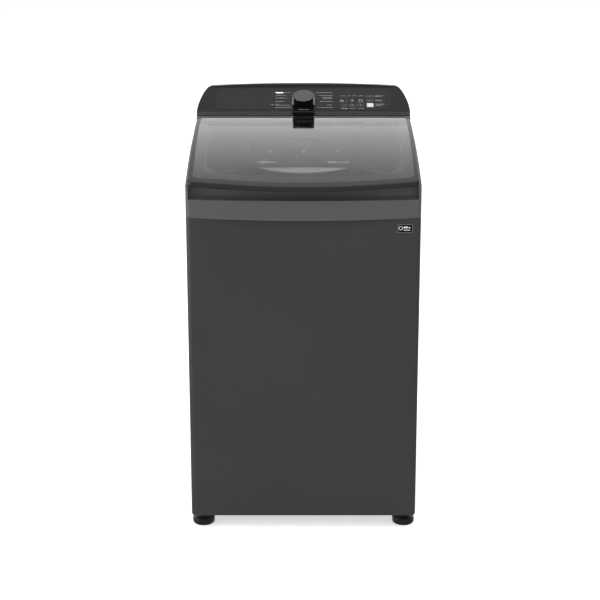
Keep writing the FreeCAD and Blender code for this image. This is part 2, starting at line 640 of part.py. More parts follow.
def make_knob():
    body = face_rod(KNOB_R - 0.4, 0, KNOB_UP, HUB_HIGH + 0.4, KNOB_HIGH)
    top = [e for e in body.Edges if (e.CenterOfMass - face_point(KNOB_UP, KNOB_HIGH)).Length < 1]
    body = body.makeFillet(1.2, top)
    body = body.cut(face_rod(KNOB_R - 2.4, 0, KNOB_UP, KNOB_HIGH - 0.8, KNOB_HIGH + 1))
    save("cycle_knob", body.fuse(face_rod(3.0, 0, KNOB_UP, -14, 10)))
    save("knob_face_disc", face_rod(KNOB_R - 2.5, 0, KNOB_UP, KNOB_HIGH - 0.8, KNOB_HIGH + 0.1))


def make_controls():
    for name in BUTTONS:
        cap = button_block(name, 0, -7.0, 0.5)
        top = [e for e in cap.Edges if (e.CenterOfMass - FACE_NORMAL * 0).dot(FACE_NORMAL)
               > face_point(0, 0.45).dot(FACE_NORMAL)]
        save(name, cap.makeFillet(0.4, top))
    board = face_block(-20, 215, 12, 82, -13.0, -11.4)
    switches = [face_block(x - 3, x + 3, up - 3, up + 3, -11.4, -8.8) for x, up, _, _ in BUTTONS.values()]
    encoder = face_block(-14, 14, KNOB_UP - 14, KNOB_UP + 14, -16.0, -3.2)
    save("control_board", fuse([board, encoder] + switches).cut(face_rod(3.07, 0, KNOB_UP, -15, 0)))


# ---------------------------------------------------------------- detergent dispenser and water inlet
def make_dispenser():
    half, low, top = DRAWER_HALF, DRAWER_LOW, DRAWER_TOP
    y0, y1 = 147.5, 272.0
    outer = box(-half - 6, half + 6, y0, y1, low - 6.5, top + 6)
    inner = box(-half - 2.5, half + 2.5, y0 - 1, y1 - 3, low - 2.5, top + 2.5)
    housing = outer.cut(inner)
    save("dispenser_housing", housing)

    # The spout under the drawer: a bowed ledge that leans down over the opening.
    low_z, tip = 889.0, 28.0
    a, b = V(-126, 141.5, low_z), V(126, 141.5, low_z)
    plan = face_of([arc(a, V(0, 141.5 - tip, low_z), b), line(b, a)]).extrude(V(0, 0, 30))
    slope = Part.Face(Part.makePolygon([V(-130, 141.5, 905.5), V(-130, 108, 892), V(-130, 108, 889.4),
                                        V(-130, 141.5, 901.5), V(-130, 141.5, 905.5)]))
    spout = plan.common(slope.extrude(V(260, 0, 0)))
    save("dispenser_spout", spout)

    front = DRAWER_FRONT + 5.0
    tray = box(-half + 3, half - 3, front, DRAWER_BACK, low + 1, top - 4)
    cells = [(-half + 5.5, -50), (-47.5, 47.5), (50, half - 5.5)]
    for x0, x1 in cells:
        tray = tray.cut(box(x0, x1, front + 2.5, DRAWER_BACK - 2.5, low + 4, top))
    save("dispenser_drawer", tray)

    face = box(-half, half, DRAWER_FRONT, front, low, top)
    face = face.makeFillet(1.5, [e for e in face.Edges if e.BoundBox.YMax < DRAWER_FRONT + 0.01])
    scoop = rod(64, (0, DRAWER_FRONT - 1, low - 28), (0, DRAWER_FRONT + 2.6, low - 28))
    save("drawer_front", face.cut(scoop))


def make_water_inlet():
    valves, hoses = [], []
    for x in VALVE_X:
        coil = rod(VALVE_R, (x, 262, VALVE_Z), (x, REAR_Y, VALVE_Z))
        thread = rod(13.2, (x, 290, VALVE_Z), (x, REACH, VALVE_Z))
        port = rod(9.0, (x, 308, VALVE_Z), (x, REACH + 1, VALVE_Z))
        spout = rod(6, (x, 270, VALVE_Z), (x, 270, VALVE_Z + 24))
        valves.append(fuse([coil, thread, spout]).cut(port))
    save("water_inlet_valves", Part.Compound(valves))

    for i, x in enumerate(VALVE_X):
        y, z = 270.0, VALVE_Z + 24.0
        end_z = z + 12 + 10 * i
        target = -DRAWER_HALF + 20 + 16 * (1 - i)
        start = V(x, y, z)
        corner_r = 10.0
        a = V(x, y, end_z - corner_r)
        b = V(x + corner_r, y, end_z)
        k = corner_r * (1 - math.sqrt(0.5))
        c = V(target - corner_r, y, end_z)
        d = V(target, y, end_z - corner_r)
        bottom = V(target, y, DRAWER_TOP + 6.0)
        edges = [arc(a, V(x + k, y, end_z - k), b), line(b, c), arc(c, V(target - k, y, end_z - k), d)]
        if a.z - start.z > 0.01:
            edges.insert(0, line(start, a))
        if d.z - bottom.z > 0.01:
            edges.append(line(d, bottom))
        hoses.append(pipe(edges, 5.0, start, V(0, 0, 1)))
    save("inlet_hoses", Part.Compound(hoses))


def pipe(edges, radius, start, direction):
    """A round solid hose along joined lines and arcs."""
    path = Part.Wire(edges)
    section = Part.Wire([Part.makeCircle(radius, start, direction)])
    return path.makePipeShell([section], True, False)


# ---------------------------------------------------------------- tub, suspension and basket
def make_tub():
    wall = turned([(24.06, TUB_LOW), (TUB_R, TUB_LOW), (TUB_R, TUB_TOP), (TUB_R - 4, TUB_TOP),
                   (TUB_R - 4, TUB_LOW + 6), (24.06, TUB_LOW + 6)])
    hub = tube(60, 24.06, 0, 0, TUB_LOW - 16, TUB_LOW + 6)
    ears = []
    for i in range(4):
        ear = box(262, 346, -24, 24, EAR_Z, EAR_Z + 12)
        web = box(262, 300, -4, 4, EAR_Z + 12, EAR_Z + 70)
        ear = ear.fuse(web)
        ear.rotate(V(0, 0, 0), V(0, 0, 1), 45 + 90 * i)
        ears.append(ear)
    holes = [upright(6.5, sx * ROD_AT, sy * ROD_AT, EAR_Z - 5, EAR_Z + 90) for sx in (-1, 1) for sy in (-1, 1)]
    outlet = tube(18, 14, OUTLET_AT[0], OUTLET_AT[1], TUB_LOW - 22, TUB_LOW + 1)
    tub = fuse([wall, hub, outlet] + ears).cut(Part.Compound(holes))
    tub = tub.cut(upright(TUB_R - 4, 0, 0, TUB_LOW + 6, TUB_TOP + 1))
    tub = tub.cut(upright(14, OUTLET_AT[0], OUTLET_AT[1], TUB_LOW - 30, TUB_LOW + 10))
    save("outer_tub", tub)

    cover = turned([(RING_R - 1, TUB_TOP + 0.1), (TUB_R + 4, TUB_TOP + 0.1), (TUB_R + 4, TUB_TOP + 12),
                    (RING_R + 3, TUB_TOP + 12), (RING_R - 1, TUB_TOP + 8)])
    skirt = tube(TUB_R + 4, TUB_R + 0.2, 0, 0, TUB_TOP - 20, TUB_TOP + 2)
    save("tub_cover_ring", cover.fuse(skirt))


OUTLET_AT = (150.0, 135.0)


def make_suspension():
    rods, springs = [], []
    for sx in (-1, 1):
        for sy in (-1, 1):
            x, y = sx * ROD_AT, sy * ROD_AT
            ball = Part.makeSphere(9.0, V(x, y, 811.8))
            rods.append(fuse([upright(4, x, y, CUP_Z - 4, 813), ball, upright(18, x, y, CUP_Z - 8, CUP_Z)]))
            springs.append(tube(15, 11.5, x, y, CUP_Z + 0.1, EAR_Z - 0.1))
    save("suspension_rods", Part.Compound(rods))
    save("suspension_springs", Part.Compound(springs))


def make_basket():
    inner = BASKET_R - BASKET_SHEET
    basket = turned([(26, BASKET_LOW), (BASKET_R, BASKET_LOW), (BASKET_R, BASKET_TOP + 50), (inner, BASKET_TOP + 50),
                     (inner, BASKET_LOW + BASKET_SHEET), (26, BASKET_LOW + BASKET_SHEET)])
    save("wash_basket", basket)
    ring = turned([(RING_R, BASKET_TOP), (BASKET_R - 2.2, BASKET_TOP), (BASKET_R - 2.2, RING_TOP),
                   (RING_R + 6, RING_TOP), (RING_R, RING_TOP - 6)])
    save("balance_ring", ring)
    flange = tube(120, 12.1, 0, 0, BASKET_LOW - 9, BASKET_LOW - 0.1)
    spin_tube = tube(24, 12.1, 0, 0, 238, BASKET_LOW - 5)
    save("basket_hub", flange.fuse(spin_tube))


def make_agitator():
    z = BASKET_LOW + 5
    skirt = turned([(164, z), (168, z), (168, z + 8), (110, z + 26), (66, z + 60), (54, z + 110),
                    (50, z + 360), (46, z + 360), (50, z + 108), (60, z + 60), (104, z + 22), (160, z + 5)])
    fins = []
    for i in range(4):
        points = [(45, z + 4), (190, z + 4), (190, z + 18), (120, z + 70), (84, z + 210), (56, z + 240), (45, z + 240)]
        fin = Part.Face(Part.makePolygon([V(x, -4, h) for x, h in points + points[:1]])).extrude(V(0, 8, 0))
        fin.rotate(V(0, 0, 0), V(0, 0, 1), 90 * i + 45)
        fins.append(fin)
    inside = turned([(0, z - 1), (160, z - 1), (160, z + 5), (104, z + 22), (60, z + 60), (50, z + 108),
                     (46, z + 370), (0, z + 370)])
    socket = tube(20, 12.0, 0, 0, z, z + 60)
    ribs = [box(19, 160, -2, 2, z, z + 40) for i in range(6)]
    for i, rib in enumerate(ribs):
        rib.rotate(V(0, 0, 0), V(0, 0, 1), 60 * i)
    ribs = fuse(ribs).common(inside)
    save("agitator", fuse([fuse([skirt] + fins).cut(inside), socket, ribs]))
    save("drive_shaft", upright(12, 0, 0, 216, z + 60))
    cup = turned([(0, z + 300), (40, z + 300), (44, z + 360.4), (50, z + 360.4), (48, z + 388),
                  (40, z + 394), (36, z + 384), (36, z + 304), (0, z + 304)])
    save("lint_filter_cup", cup)


# ---------------------------------------------------------------- drive and pump
def make_drive():
    plate_z = TUB_LOW - 20
    mx, my = MOTOR_AT
    plate = rounded_block(mx - 55, 95, -80, 120, 20, plate_z - 6, plate_z)
    posts = [upright(9, x, y, plate_z, TUB_LOW) for x, y in ((80, -60), (80, 100), (-100, -62), (-200, 100))]
    plate = fuse([plate] + posts).cut(upright(63, 0, 0, plate_z - 20, plate_z + 40))
    save("drive_mount_plate", plate)

    case = turned([(0, 150), (52, 150), (72, 170), (72, 246), (58, plate_z - 1.0), (0, plate_z - 1.0)])
    lugs = [upright(10, 70 * math.cos(a), 70 * math.sin(a), plate_z - 20, plate_z - 6)
            for a in (math.radians(30 + 120 * i) for i in range(3))]
    case = fuse([case] + lugs)
    case = case.cut(upright(24.06, 0, 0, 237, 300)).cut(upright(12.06, 0, 0, 214, 300)).cut(upright(10.06, 0, 0, 140, 208))
    save("gearcase", case)

    big = turned([(0, PULLEY_Z), (BIG_PULLEY_R, PULLEY_Z), (BIG_PULLEY_R, PULLEY_Z + 2), (BIG_PULLEY_R - 4, PULLEY_Z + 5),
                  (BIG_PULLEY_R - 4, PULLEY_Z + 15), (BIG_PULLEY_R, PULLEY_Z + 18), (BIG_PULLEY_R, PULLEY_Z + 20),
                  (0, PULLEY_Z + 20)])
    windows = []
    for i in range(5):
        a = math.radians(72 * i)
        windows.append(upright(15, 44 * math.cos(a), 44 * math.sin(a), PULLEY_Z - 1, PULLEY_Z + 30))
    save("drive_pulley", big.cut(Part.Compound(windows)).fuse(upright(10, 0, 0, PULLEY_Z - 6, 206)))

    small = turned([(0, PULLEY_Z), (SMALL_PULLEY_R, PULLEY_Z), (SMALL_PULLEY_R, PULLEY_Z + 2),
                    (SMALL_PULLEY_R - 3, PULLEY_Z + 5), (SMALL_PULLEY_R - 3, PULLEY_Z + 15),
                    (SMALL_PULLEY_R, PULLEY_Z + 18), (SMALL_PULLEY_R, PULLEY_Z + 20), (0, PULLEY_Z + 20)])
    small = small.fuse(upright(7, 0, 0, PULLEY_Z - 4, 200))
    small.translate(V(mx, my, 0))
    save("motor_pulley", small)

    can = upright(MOTOR_R, mx, my, 158, plate_z - 8)
    can = can.makeFillet(6, [e for e in can.Edges if e.BoundBox.ZLength < 1])
    feet = [upright(7, mx + 40 * math.cos(a), my + 40 * math.sin(a), plate_z - 9, plate_z - 6)
            for a in (math.radians(45 + 90 * i) for i in range(4))]
    motor = fuse([can] + feet).cut(upright(7.06, mx, my, 140, 204))
    save("drive_motor", motor)

    belt = belt_loop(BIG_PULLEY_R - 3.6, SMALL_PULLEY_R - 2.6, 4.0)
    save("drive_belt", belt)


def belt_loop(big_r, small_r, thick):
    """A flat belt round both pulleys, just clear of their grooves."""
    z0, z1 = PULLEY_Z + 6, PULLEY_Z + 14
    mx, my = MOTOR_AT
    span, heading = math.hypot(mx, my), math.atan2(my, mx)

    def outline(big, small):
        lean = math.acos((big - small) / span)

        def at(x, y, r, angle):
            return V(x + r * math.cos(angle), y + r * math.sin(angle), z0)

        a, b = at(0, 0, big, heading + lean), at(0, 0, big, heading - lean)
        c, d = at(mx, my, small, heading - lean), at(mx, my, small, heading + lean)
        return face_of([arc(a, at(0, 0, big, heading + math.pi), b), line(b, c),
                        arc(c, at(mx, my, small, heading), d), line(d, a)]).extrude(V(0, 0, z1 - z0))

    return outline(big_r + thick, small_r + thick).cut(outline(big_r, small_r))


def make_pump():
    x, y = OUTLET_AT
    low, high = 176.0, 232.0
    volute = upright(34, x, y, low + 20, high)
    motor = upright(24, x, y, low - 26, low + 20)
    inlet = tube(18, 14, x, y, high, high + 14)
    outlet = rod(12, (x + 20, y, high - 18), (x + 20, y + 62, high - 18))
    pump = fuse([volute, motor, inlet, outlet])
    pump = pump.cut(upright(14, x, y, high - 10, high + 20))
    save("drain_pump", pump)
    save("sump_hose", tube(21, 18.05, x, y, high + 2, TUB_LOW - 8))

    ox, oz = DRAIN_AT
    flange = rod(24, (ox, REAR_Y + SHEET, oz), (ox, REAR_Y + SHEET + 3, oz))
    spigot = rod(15, (ox, REAR_Y - 26, oz), (ox, REACH, oz))
    port = fuse([flange, spigot]).cut(rod(11.5, (ox, REAR_Y - 30, oz), (ox, REACH + 1, oz)))
    save("drain_port", port)

    start = V(x + 20, y + 62.1, high - 18)
    end = V(ox, REAR_Y - 26.1, oz)
    middle = V((start.x + end.x) / 2, (start.y + end.y) / 2, (start.z + end.z) / 2)
    save("drain_hose", bent_hose([start, V(start.x, start.y + 26, start.z), middle + V(0, 2, 0),
                                  V(end.x, end.y - 26, end.z), end], 13.0))


def bent_hose(points, radius):
    """A round hose through straight runs joined by tangent arcs as large as the runs allow."""
    edges, last = [], points[0]
    for before, at, after in zip(points, points[1:], points[2:]):
        arm = 0.45 * min((at - before).Length, (after - at).Length)
        u, v = (before - at).normalize(), (after - at).normalize()
        a, b = at + u * arm, at + v * arm
        half = u.getAngle(v) / 2
        bend = arm * math.tan(half)
        inward = (u + v).normalize()
        middle = at + inward * (bend / math.sin(half) - bend)
        edges += [line(last, a), arc(a, middle, b)]
        last = b
    edges.append(line(last, points[-1]))
    return pipe(edges, radius, points[0], points[1] - points[0])


# ---------------------------------------------------------------- small pieces on the outside
def make_gland():
    x, z = GLAND_AT
    y = REAR_Y + SHEET + PANEL_RISE
    flange = rod(12, (x, y, z), (x, y + 3, z))
    nose = rod(8, (x, REAR_Y - 8, z), (x, REACH - 6, z))
    save("cord_gland", fuse([flange, nose]).cut(rod(4.0, (x, REAR_Y - 10, z), (x, REACH, z))))


def make_badge():
    x, z = 258.7, 825.0
    plate = box(x - 20, x + 20, FRONT_Y - 1.2, FRONT_Y, z - 12, z + 12)
    edges = [e for e in plate.Edges if e.BoundBox.YLength > 1]
    save("capacity_badge", plate.makeFillet(2.5, edges))


def main():
    os.makedirs("parts", exist_ok=True)
    make_cabinet()
    make_rear_panel()
    make_base()
    make_top_brackets()
    make_top_cover()
    make_lid_lock()
    make_lid_bumpers()
    make_lid()
    make_hinges()
    make_console()
    make_knob()
    make_controls()
    make_dispenser()
    make_water_inlet()
    make_tub()
    make_suspension()
    make_basket()
    make_agitator()
    make_drive()
    make_pump()
    make_gland()
    make_badge()


main()
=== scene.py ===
"""A top load washing machine with a bowed glass lid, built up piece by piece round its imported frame."""
import json
import math
import random
import bmesh
import bpy
from mathutils import Matrix, Vector


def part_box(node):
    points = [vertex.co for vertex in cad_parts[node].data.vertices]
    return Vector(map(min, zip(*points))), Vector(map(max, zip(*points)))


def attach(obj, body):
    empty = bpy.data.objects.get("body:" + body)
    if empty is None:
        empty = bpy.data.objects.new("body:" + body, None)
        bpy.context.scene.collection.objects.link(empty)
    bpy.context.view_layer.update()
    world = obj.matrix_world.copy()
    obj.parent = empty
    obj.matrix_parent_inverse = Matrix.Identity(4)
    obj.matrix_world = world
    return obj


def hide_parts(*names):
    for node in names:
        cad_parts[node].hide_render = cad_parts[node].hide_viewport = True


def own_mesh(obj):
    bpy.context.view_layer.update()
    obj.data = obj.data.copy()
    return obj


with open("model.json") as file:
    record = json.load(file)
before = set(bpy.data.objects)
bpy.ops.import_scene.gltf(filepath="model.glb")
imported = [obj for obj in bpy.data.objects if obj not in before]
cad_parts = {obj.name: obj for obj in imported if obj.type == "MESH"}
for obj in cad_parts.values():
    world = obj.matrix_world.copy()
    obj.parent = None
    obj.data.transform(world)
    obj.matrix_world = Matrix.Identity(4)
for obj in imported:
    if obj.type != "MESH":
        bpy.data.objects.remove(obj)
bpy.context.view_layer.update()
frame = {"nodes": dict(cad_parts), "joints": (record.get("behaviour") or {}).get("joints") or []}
bpy.ops.object.select_all(action="DESELECT")

# ---------------------------------------------------------------- camera and studio
# The machine stands on a plain white floor, seen from head height, square in front. Mirrored rays see their own sky,
# dim in front and bright behind, and neither the floor nor the top light. One soft light stands on the left.
camera_data = bpy.data.cameras.new("camera")
camera = bpy.data.objects.new("camera", camera_data)
bpy.context.scene.collection.objects.link(camera)
camera.location = (0.0, -4.019, 1.624)
camera.rotation_euler = (math.radians(75.0), 0.0, 0.0)
camera_data.lens, camera_data.sensor_width = 89.52, 36.0
camera_data.shift_x, camera_data.shift_y = -0.0058, 0.005
camera_data.clip_start, camera_data.clip_end = 0.05, 60.0
bpy.context.scene.camera = camera
bpy.context.scene.view_settings.view_transform = "Standard"


def nodes_of(tree):
    """A function that adds a node of a kind, sets its inputs by name, and joins links given as sockets."""
    def add(kind, _props=None, **inputs):
        node = tree.nodes.new(kind)
        for key, value in (_props or {}).items():
            setattr(node, key, value)
        for key, value in inputs.items():
            by_number = key[0] == "i" and key[1:].isdigit()
            socket = node.inputs[int(key[1:]) if by_number else key.replace("_", " ")]
            if isinstance(value, bpy.types.NodeSocket):
                tree.links.new(value, socket)
            else:
                socket.default_value = value
        return node
    return add


world = bpy.data.worlds.new("studio")
bpy.context.scene.world = world
world.use_nodes = True
world.node_tree.nodes.clear()
add = nodes_of(world.node_tree)
direction = add("ShaderNodeSeparateXYZ", i0=add("ShaderNodeTexCoord").outputs["Generated"])
up = add("ShaderNodeMapRange", {"interpolation_type": "SMOOTHSTEP"}, Value=direction.outputs["Z"],
         From_Min=-0.2, From_Max=1.0, To_Min=0.45, To_Max=1.15)
mirrored = add("ShaderNodeMapRange", {"interpolation_type": "SMOOTHSTEP"}, Value=direction.outputs["Y"],
               From_Min=0.25, From_Max=0.85, To_Min=0.18, To_Max=1.25)
ray = add("ShaderNodeLightPath")
lit = add("ShaderNodeMix", i0=ray.outputs["Is Glossy Ray"], i2=up.outputs[0], i3=mirrored.outputs[0])
seen = add("ShaderNodeMix", i0=ray.outputs["Is Camera Ray"], i2=lit.outputs[0], i3=1.0)
add("ShaderNodeOutputWorld", Surface=add("ShaderNodeBackground", Color=(1, 1, 1, 1),
                                         Strength=seen.outputs[0]).outputs[0])

for name, place, aim, wide, tall, power, gloss in (
        ("light_left", (-2.6, -1.2, 0.9), (0, 0, 0.6), 0.8, 1.8, 26.0, True),
        ("light_top", (0.0, -0.4, 3.4), (0, 0, 0.9), 2.6, 2.2, 75.0, False),
        ("light_front", (0.3, -4.2, 3.4), (0, 0, 0.8), 2.6, 1.0, 14.0, True)):
    bpy.ops.object.light_add(type="AREA", location=place)
    light = bpy.context.object
    light.name = name
    light.data.shape = "RECTANGLE"
    light.data.size, light.data.size_y, light.data.energy = wide, tall, power
    light.visible_glossy = gloss
    light.rotation_euler = (Vector(aim) - Vector(place)).to_track_quat("-Z", "Y").to_euler()

bpy.ops.mesh.primitive_plane_add(size=40.0)
floor = bpy.context.object
floor.name = "studio_floor"
floor_paint = bpy.data.materials.new("studio_floor")
floor_paint.use_nodes = True
floor_paint.node_tree.nodes.clear()
add = nodes_of(floor_paint.node_tree)
paper = add("ShaderNodeAddShader",
            i0=add("ShaderNodeBsdfDiffuse", Color=(0.80, 0.80, 0.80, 1)).outputs[0],
            i1=add("ShaderNodeEmission", Color=(1, 1, 1, 1), Strength=0.58).outputs[0])
add("ShaderNodeOutputMaterial", Surface=paper.outputs[0])
floor.data.materials.append(floor_paint)
floor.visible_glossy = False


# ---------------------------------------------------------------- folded cabinet
# One sheet of 1 mm steel folded round the front and both sides, sprayed with a fine metallic graphite paint. The paint
# has an even orange-peel skin and tiny flakes that only show close up.
def finish(name, colour, rough, metallic=0.0, grain=0.0, grain_size=0.0006, cloud=0.06, cloud_size=0.25,
           rough_spread=0.05, peel=0.0, peel_size=0.002, specular=0.5, coat=0.0, coat_rough=0.1, stretch=(1, 1, 1)):
    """A surface with cloudy colour, fine grain and a bumpy skin, all in real sizes (metres)."""
    material = bpy.data.materials.new(name)
    material.use_nodes = True
    tree = material.node_tree
    tree.nodes.clear()
    add = nodes_of(tree)
    place = add("ShaderNodeMapping", Vector=add("ShaderNodeTexCoord").outputs["Object"], Scale=stretch).outputs[0]
    clouds = add("ShaderNodeTexNoise", Vector=place, Scale=1 / cloud_size, Detail=3.0, Roughness=0.55)
    grains = add("ShaderNodeTexNoise", Vector=place, Scale=1 / grain_size, Detail=2.0, Roughness=0.6)
    shade = add("ShaderNodeMapRange", Value=clouds.outputs["Fac"], From_Min=0.3, From_Max=0.7,
                To_Min=1 - cloud, To_Max=1 + cloud).outputs[0]
    flake = add("ShaderNodeMapRange", Value=grains.outputs["Fac"], From_Min=0.3, From_Max=0.7,
                To_Min=1 - grain, To_Max=1 + grain).outputs[0]
    both = add("ShaderNodeMath", {"operation": "MULTIPLY"}, i0=shade, i1=flake).outputs[0]
    tint = add("ShaderNodeVectorMath", {"operation": "SCALE"}, i0=colour, Scale=both).outputs[0]
    gloss = add("ShaderNodeMapRange", Value=clouds.outputs["Fac"], From_Min=0.3, From_Max=0.7,
                To_Min=max(rough - rough_spread, 0.02), To_Max=rough + rough_spread).outputs[0]
    surface = add("ShaderNodeBsdfPrincipled", Base_Color=tint, Roughness=gloss)
    surface.inputs["Metallic"].default_value = metallic
    surface.inputs["Specular IOR Level"].default_value = specular
    surface.inputs["Coat Weight"].default_value = coat
    surface.inputs["Coat Roughness"].default_value = coat_rough
    if peel:
        skin = add("ShaderNodeTexNoise", Vector=place, Scale=1 / peel_size, Detail=2.0, Roughness=0.5)
        bump = add("ShaderNodeBump", Height=skin.outputs["Fac"], Strength=1.0, Distance=peel)
        tree.links.new(bump.outputs[0], surface.inputs["Normal"])
    add("ShaderNodeOutputMaterial", Surface=surface.outputs[0])
    return material


def repaint(material, *nodes):
    """Gives CAD nodes a better finish. Their shape stays."""
    for node in nodes:
        mesh = frame["nodes"][node].data
        mesh.materials.clear()
        mesh.materials.append(material)


graphite_paint = finish("graphite_paint", (0.041, 0.041, 0.0435), 0.42, metallic=0.25, grain=0.22, cloud=0.03,
                        peel=0.00002, peel_size=0.003, specular=0.35)
repaint(graphite_paint, "cabinet_wrap")

# ---------------------------------------------------------------- rear panel and its screws
# A pressed plate of galvanised steel closes the back, with a raised field and a louvre of slots over the motor.
# Fourteen self-tapping screws with hexagon washer heads hold it to the cabinet's flanges and to the top cover.
mm = 0.001


def spangled(name, colour, cell):
    """Zinc coated steel: flat crystals that differ a little in tone and gloss."""
    material = finish(name, colour, 0.42, metallic=0.9, cloud=0.05, peel=0.00001, peel_size=0.0015)
    tree = material.node_tree
    add = nodes_of(tree)
    surface = next(n for n in tree.nodes if n.type == "BSDF_PRINCIPLED")
    old = surface.inputs["Base Color"].links[0].from_socket
    crystal = add("ShaderNodeTexVoronoi", Vector=add("ShaderNodeTexCoord").outputs["Object"], Scale=1 / cell)
    tone = add("ShaderNodeSeparateXYZ", i0=crystal.outputs["Color"])
    lift = add("ShaderNodeMapRange", Value=tone.outputs["X"], To_Min=0.82, To_Max=1.12).outputs[0]
    tint = add("ShaderNodeVectorMath", {"operation": "SCALE"}, i0=old, Scale=lift).outputs[0]
    gloss = add("ShaderNodeMapRange", Value=tone.outputs["Y"], To_Min=0.32, To_Max=0.52).outputs[0]
    tree.links.new(tint, surface.inputs["Base Color"])
    tree.links.new(gloss, surface.inputs["Roughness"])
    return material


def begin(kind, scale=(1, 1, 1), **where):
    """A new primitive, the only thing selected, with its place and size applied to its mesh."""
    bpy.ops.object.select_all(action="DESELECT")
    getattr(bpy.ops.mesh, f"primitive_{kind}_add")(**where)
    bpy.context.object.scale = scale
    bpy.ops.object.transform_apply(location=True, rotation=True, scale=True)
    return bpy.context.object


def pick(piece, test, of="faces"):
    """Selects in edit mode the faces, edges or points whose middle and normal (or direction) pass the test."""
    bpy.context.view_layer.objects.active = piece
    bpy.ops.object.mode_set(mode="EDIT")
    bpy.ops.mesh.select_mode(type={"faces": "FACE", "edges": "EDGE", "verts": "VERT"}[of])
    bpy.ops.mesh.select_all(action="DESELECT")
    mesh = bmesh.from_edit_mesh(piece.data)
    for item in getattr(mesh, of):
        if of == "faces":
            middle, way = item.calc_center_median(), item.normal
        elif of == "edges":
            middle = (item.verts[0].co + item.verts[1].co) / 2
            way = (item.verts[1].co - item.verts[0].co).normalized()
        else:
            middle, way = item.co, item.normal
        if test(middle, way):
            item.select_set(True)
    bmesh.update_edit_mesh(piece.data)
    return piece


def turn(points, vertices=64, at=(0.0, 0.0), closed=False):
    """A wall of revolution about an upright axis: a rim drawn out from each (radius, height) to the next."""
    r, z = points[0]
    piece = begin("circle", vertices=vertices, radius=r, location=(at[0], at[1], z))
    bpy.ops.object.mode_set(mode="EDIT")
    bpy.ops.mesh.select_mode(type="EDGE")
    bpy.ops.mesh.select_all(action="SELECT")
    for next_r, next_z in points[1:] + (points[:1] if closed else []):
        bpy.ops.mesh.extrude_region_move(TRANSFORM_OT_translate={"value": (0, 0, next_z - z)})
        scale = next_r / r
        bpy.ops.transform.resize(value=(scale, scale, 1), center_override=(at[0], at[1], next_z))
        r, z = next_r, next_z
    bpy.ops.mesh.select_all(action="SELECT")
    bpy.ops.mesh.remove_doubles(threshold=0.00001)
    bpy.ops.mesh.normals_make_consistent(inside=False)
    bpy.ops.object.mode_set(mode="OBJECT")
    return piece


def cap_ends(piece):
    """Closes every open rim."""
    bpy.context.view_layer.objects.active = piece
    bpy.ops.object.mode_set(mode="EDIT")
    bpy.ops.mesh.select_mode(type="EDGE")
    bpy.ops.mesh.select_all(action="DESELECT")
    bpy.ops.mesh.select_non_manifold(extend=False, use_wire=False, use_multi_face=False, use_non_contiguous=False,
                                     use_verts=False)
    bpy.ops.mesh.edge_face_add()
    bpy.ops.mesh.select_all(action="SELECT")
    bpy.ops.mesh.normals_make_consistent(inside=False)
    bpy.ops.object.mode_set(mode="OBJECT")
    return piece


def lay(piece, axis_to, origin=(0, 0, 0)):
    """Turns an upright piece so that its +Z points along axis_to, then moves its origin there, in the mesh."""
    turned = Vector(axis_to).to_track_quat("Z", "Y").to_matrix().to_4x4()
    piece.data.transform(Matrix.Translation(Vector(origin)) @ turned)
    piece.data.update()
    return piece


def modify(piece, kind, **settings):
    """Adds one modifier and applies it."""
    bpy.ops.object.select_all(action="DESELECT")
    piece.select_set(True)
    bpy.context.view_layer.objects.active = piece
    modifier = piece.modifiers.new(kind.lower(), kind)
    for key, value in settings.items():
        setattr(modifier, key, value)
    bpy.ops.object.modifier_apply(modifier=modifier.name)
    return piece


def joined(pieces):
    bpy.ops.object.select_all(action="DESELECT")
    for piece in pieces:
        piece.select_set(True)
    bpy.context.view_layer.objects.active = pieces[0]
    if len(pieces) > 1:
        bpy.ops.object.join()
    return bpy.context.object


def copied(piece, shift=(0, 0, 0)):
    """A copy with its own mesh, moved in the mesh."""
    twin = piece.copy()
    twin.data = piece.data.copy()
    bpy.context.scene.collection.objects.link(twin)
    twin.data.transform(Matrix.Translation(Vector(shift)))
    return twin


def done(piece, name, material, body, slot, *stands_for, smooth=35):
    """Applies the piece's place to its mesh, smooths it, gives it its finish and its body."""
    if bpy.context.object and bpy.context.object.mode == "EDIT":
        bpy.ops.object.mode_set(mode="OBJECT")
    bpy.ops.object.select_all(action="DESELECT")
    piece.select_set(True)
    bpy.context.view_layer.objects.active = piece
    bpy.ops.object.transform_apply(location=True, rotation=True, scale=True)
    if smooth:
        bpy.ops.object.shade_smooth_by_angle(angle=math.radians(smooth))
    piece.name = piece.data.name = name
    piece.data.materials.clear()
    piece.data.materials.append(material)
    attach(piece, body)
    if stands_for:
        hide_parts(*stands_for)
    return piece


zinc = spangled("galvanised", (0.50, 0.51, 0.52), 0.011)
zinc_plain = spangled("galvanised_fine", (0.44, 0.45, 0.46), 0.006)
repaint(zinc, "rear_panel")

plate_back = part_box("cabinet_screws")[0].y
screw_steel = finish("screw_steel", (0.40, 0.40, 0.41), 0.34, metallic=1.0, cloud=0.08, cloud_size=0.004)
washer = cap_ends(turn([(4.5 * mm, 0), (4.4 * mm, 0.5 * mm), (3.6 * mm, 0.9 * mm)], vertices=24))
head = begin("cylinder", vertices=6, radius=3.3 * mm, depth=1.6 * mm, location=(0, 0, 1.4 * mm))
pick(head, lambda at, way: way.z > 0.9)
bpy.ops.mesh.bevel(offset=0.3 * mm, segments=2, affect="EDGES")
pick(head, lambda at, way: way.z > 0.9 and at.length < 0.5 * mm + 2.2 * mm)
bpy.ops.mesh.inset(thickness=1.4 * mm)
bpy.ops.mesh.extrude_region_move(TRANSFORM_OT_translate={"value": (0, 0, -0.6 * mm)})
bpy.ops.object.mode_set(mode="OBJECT")
screw = lay(joined([washer, head]), (0, 1, 0), (0, plate_back, 0))
screw_places = [(side * 0.286, z) for z in (0.075, 0.250, 0.450, 0.650, 0.815) for side in (-1, 1)]
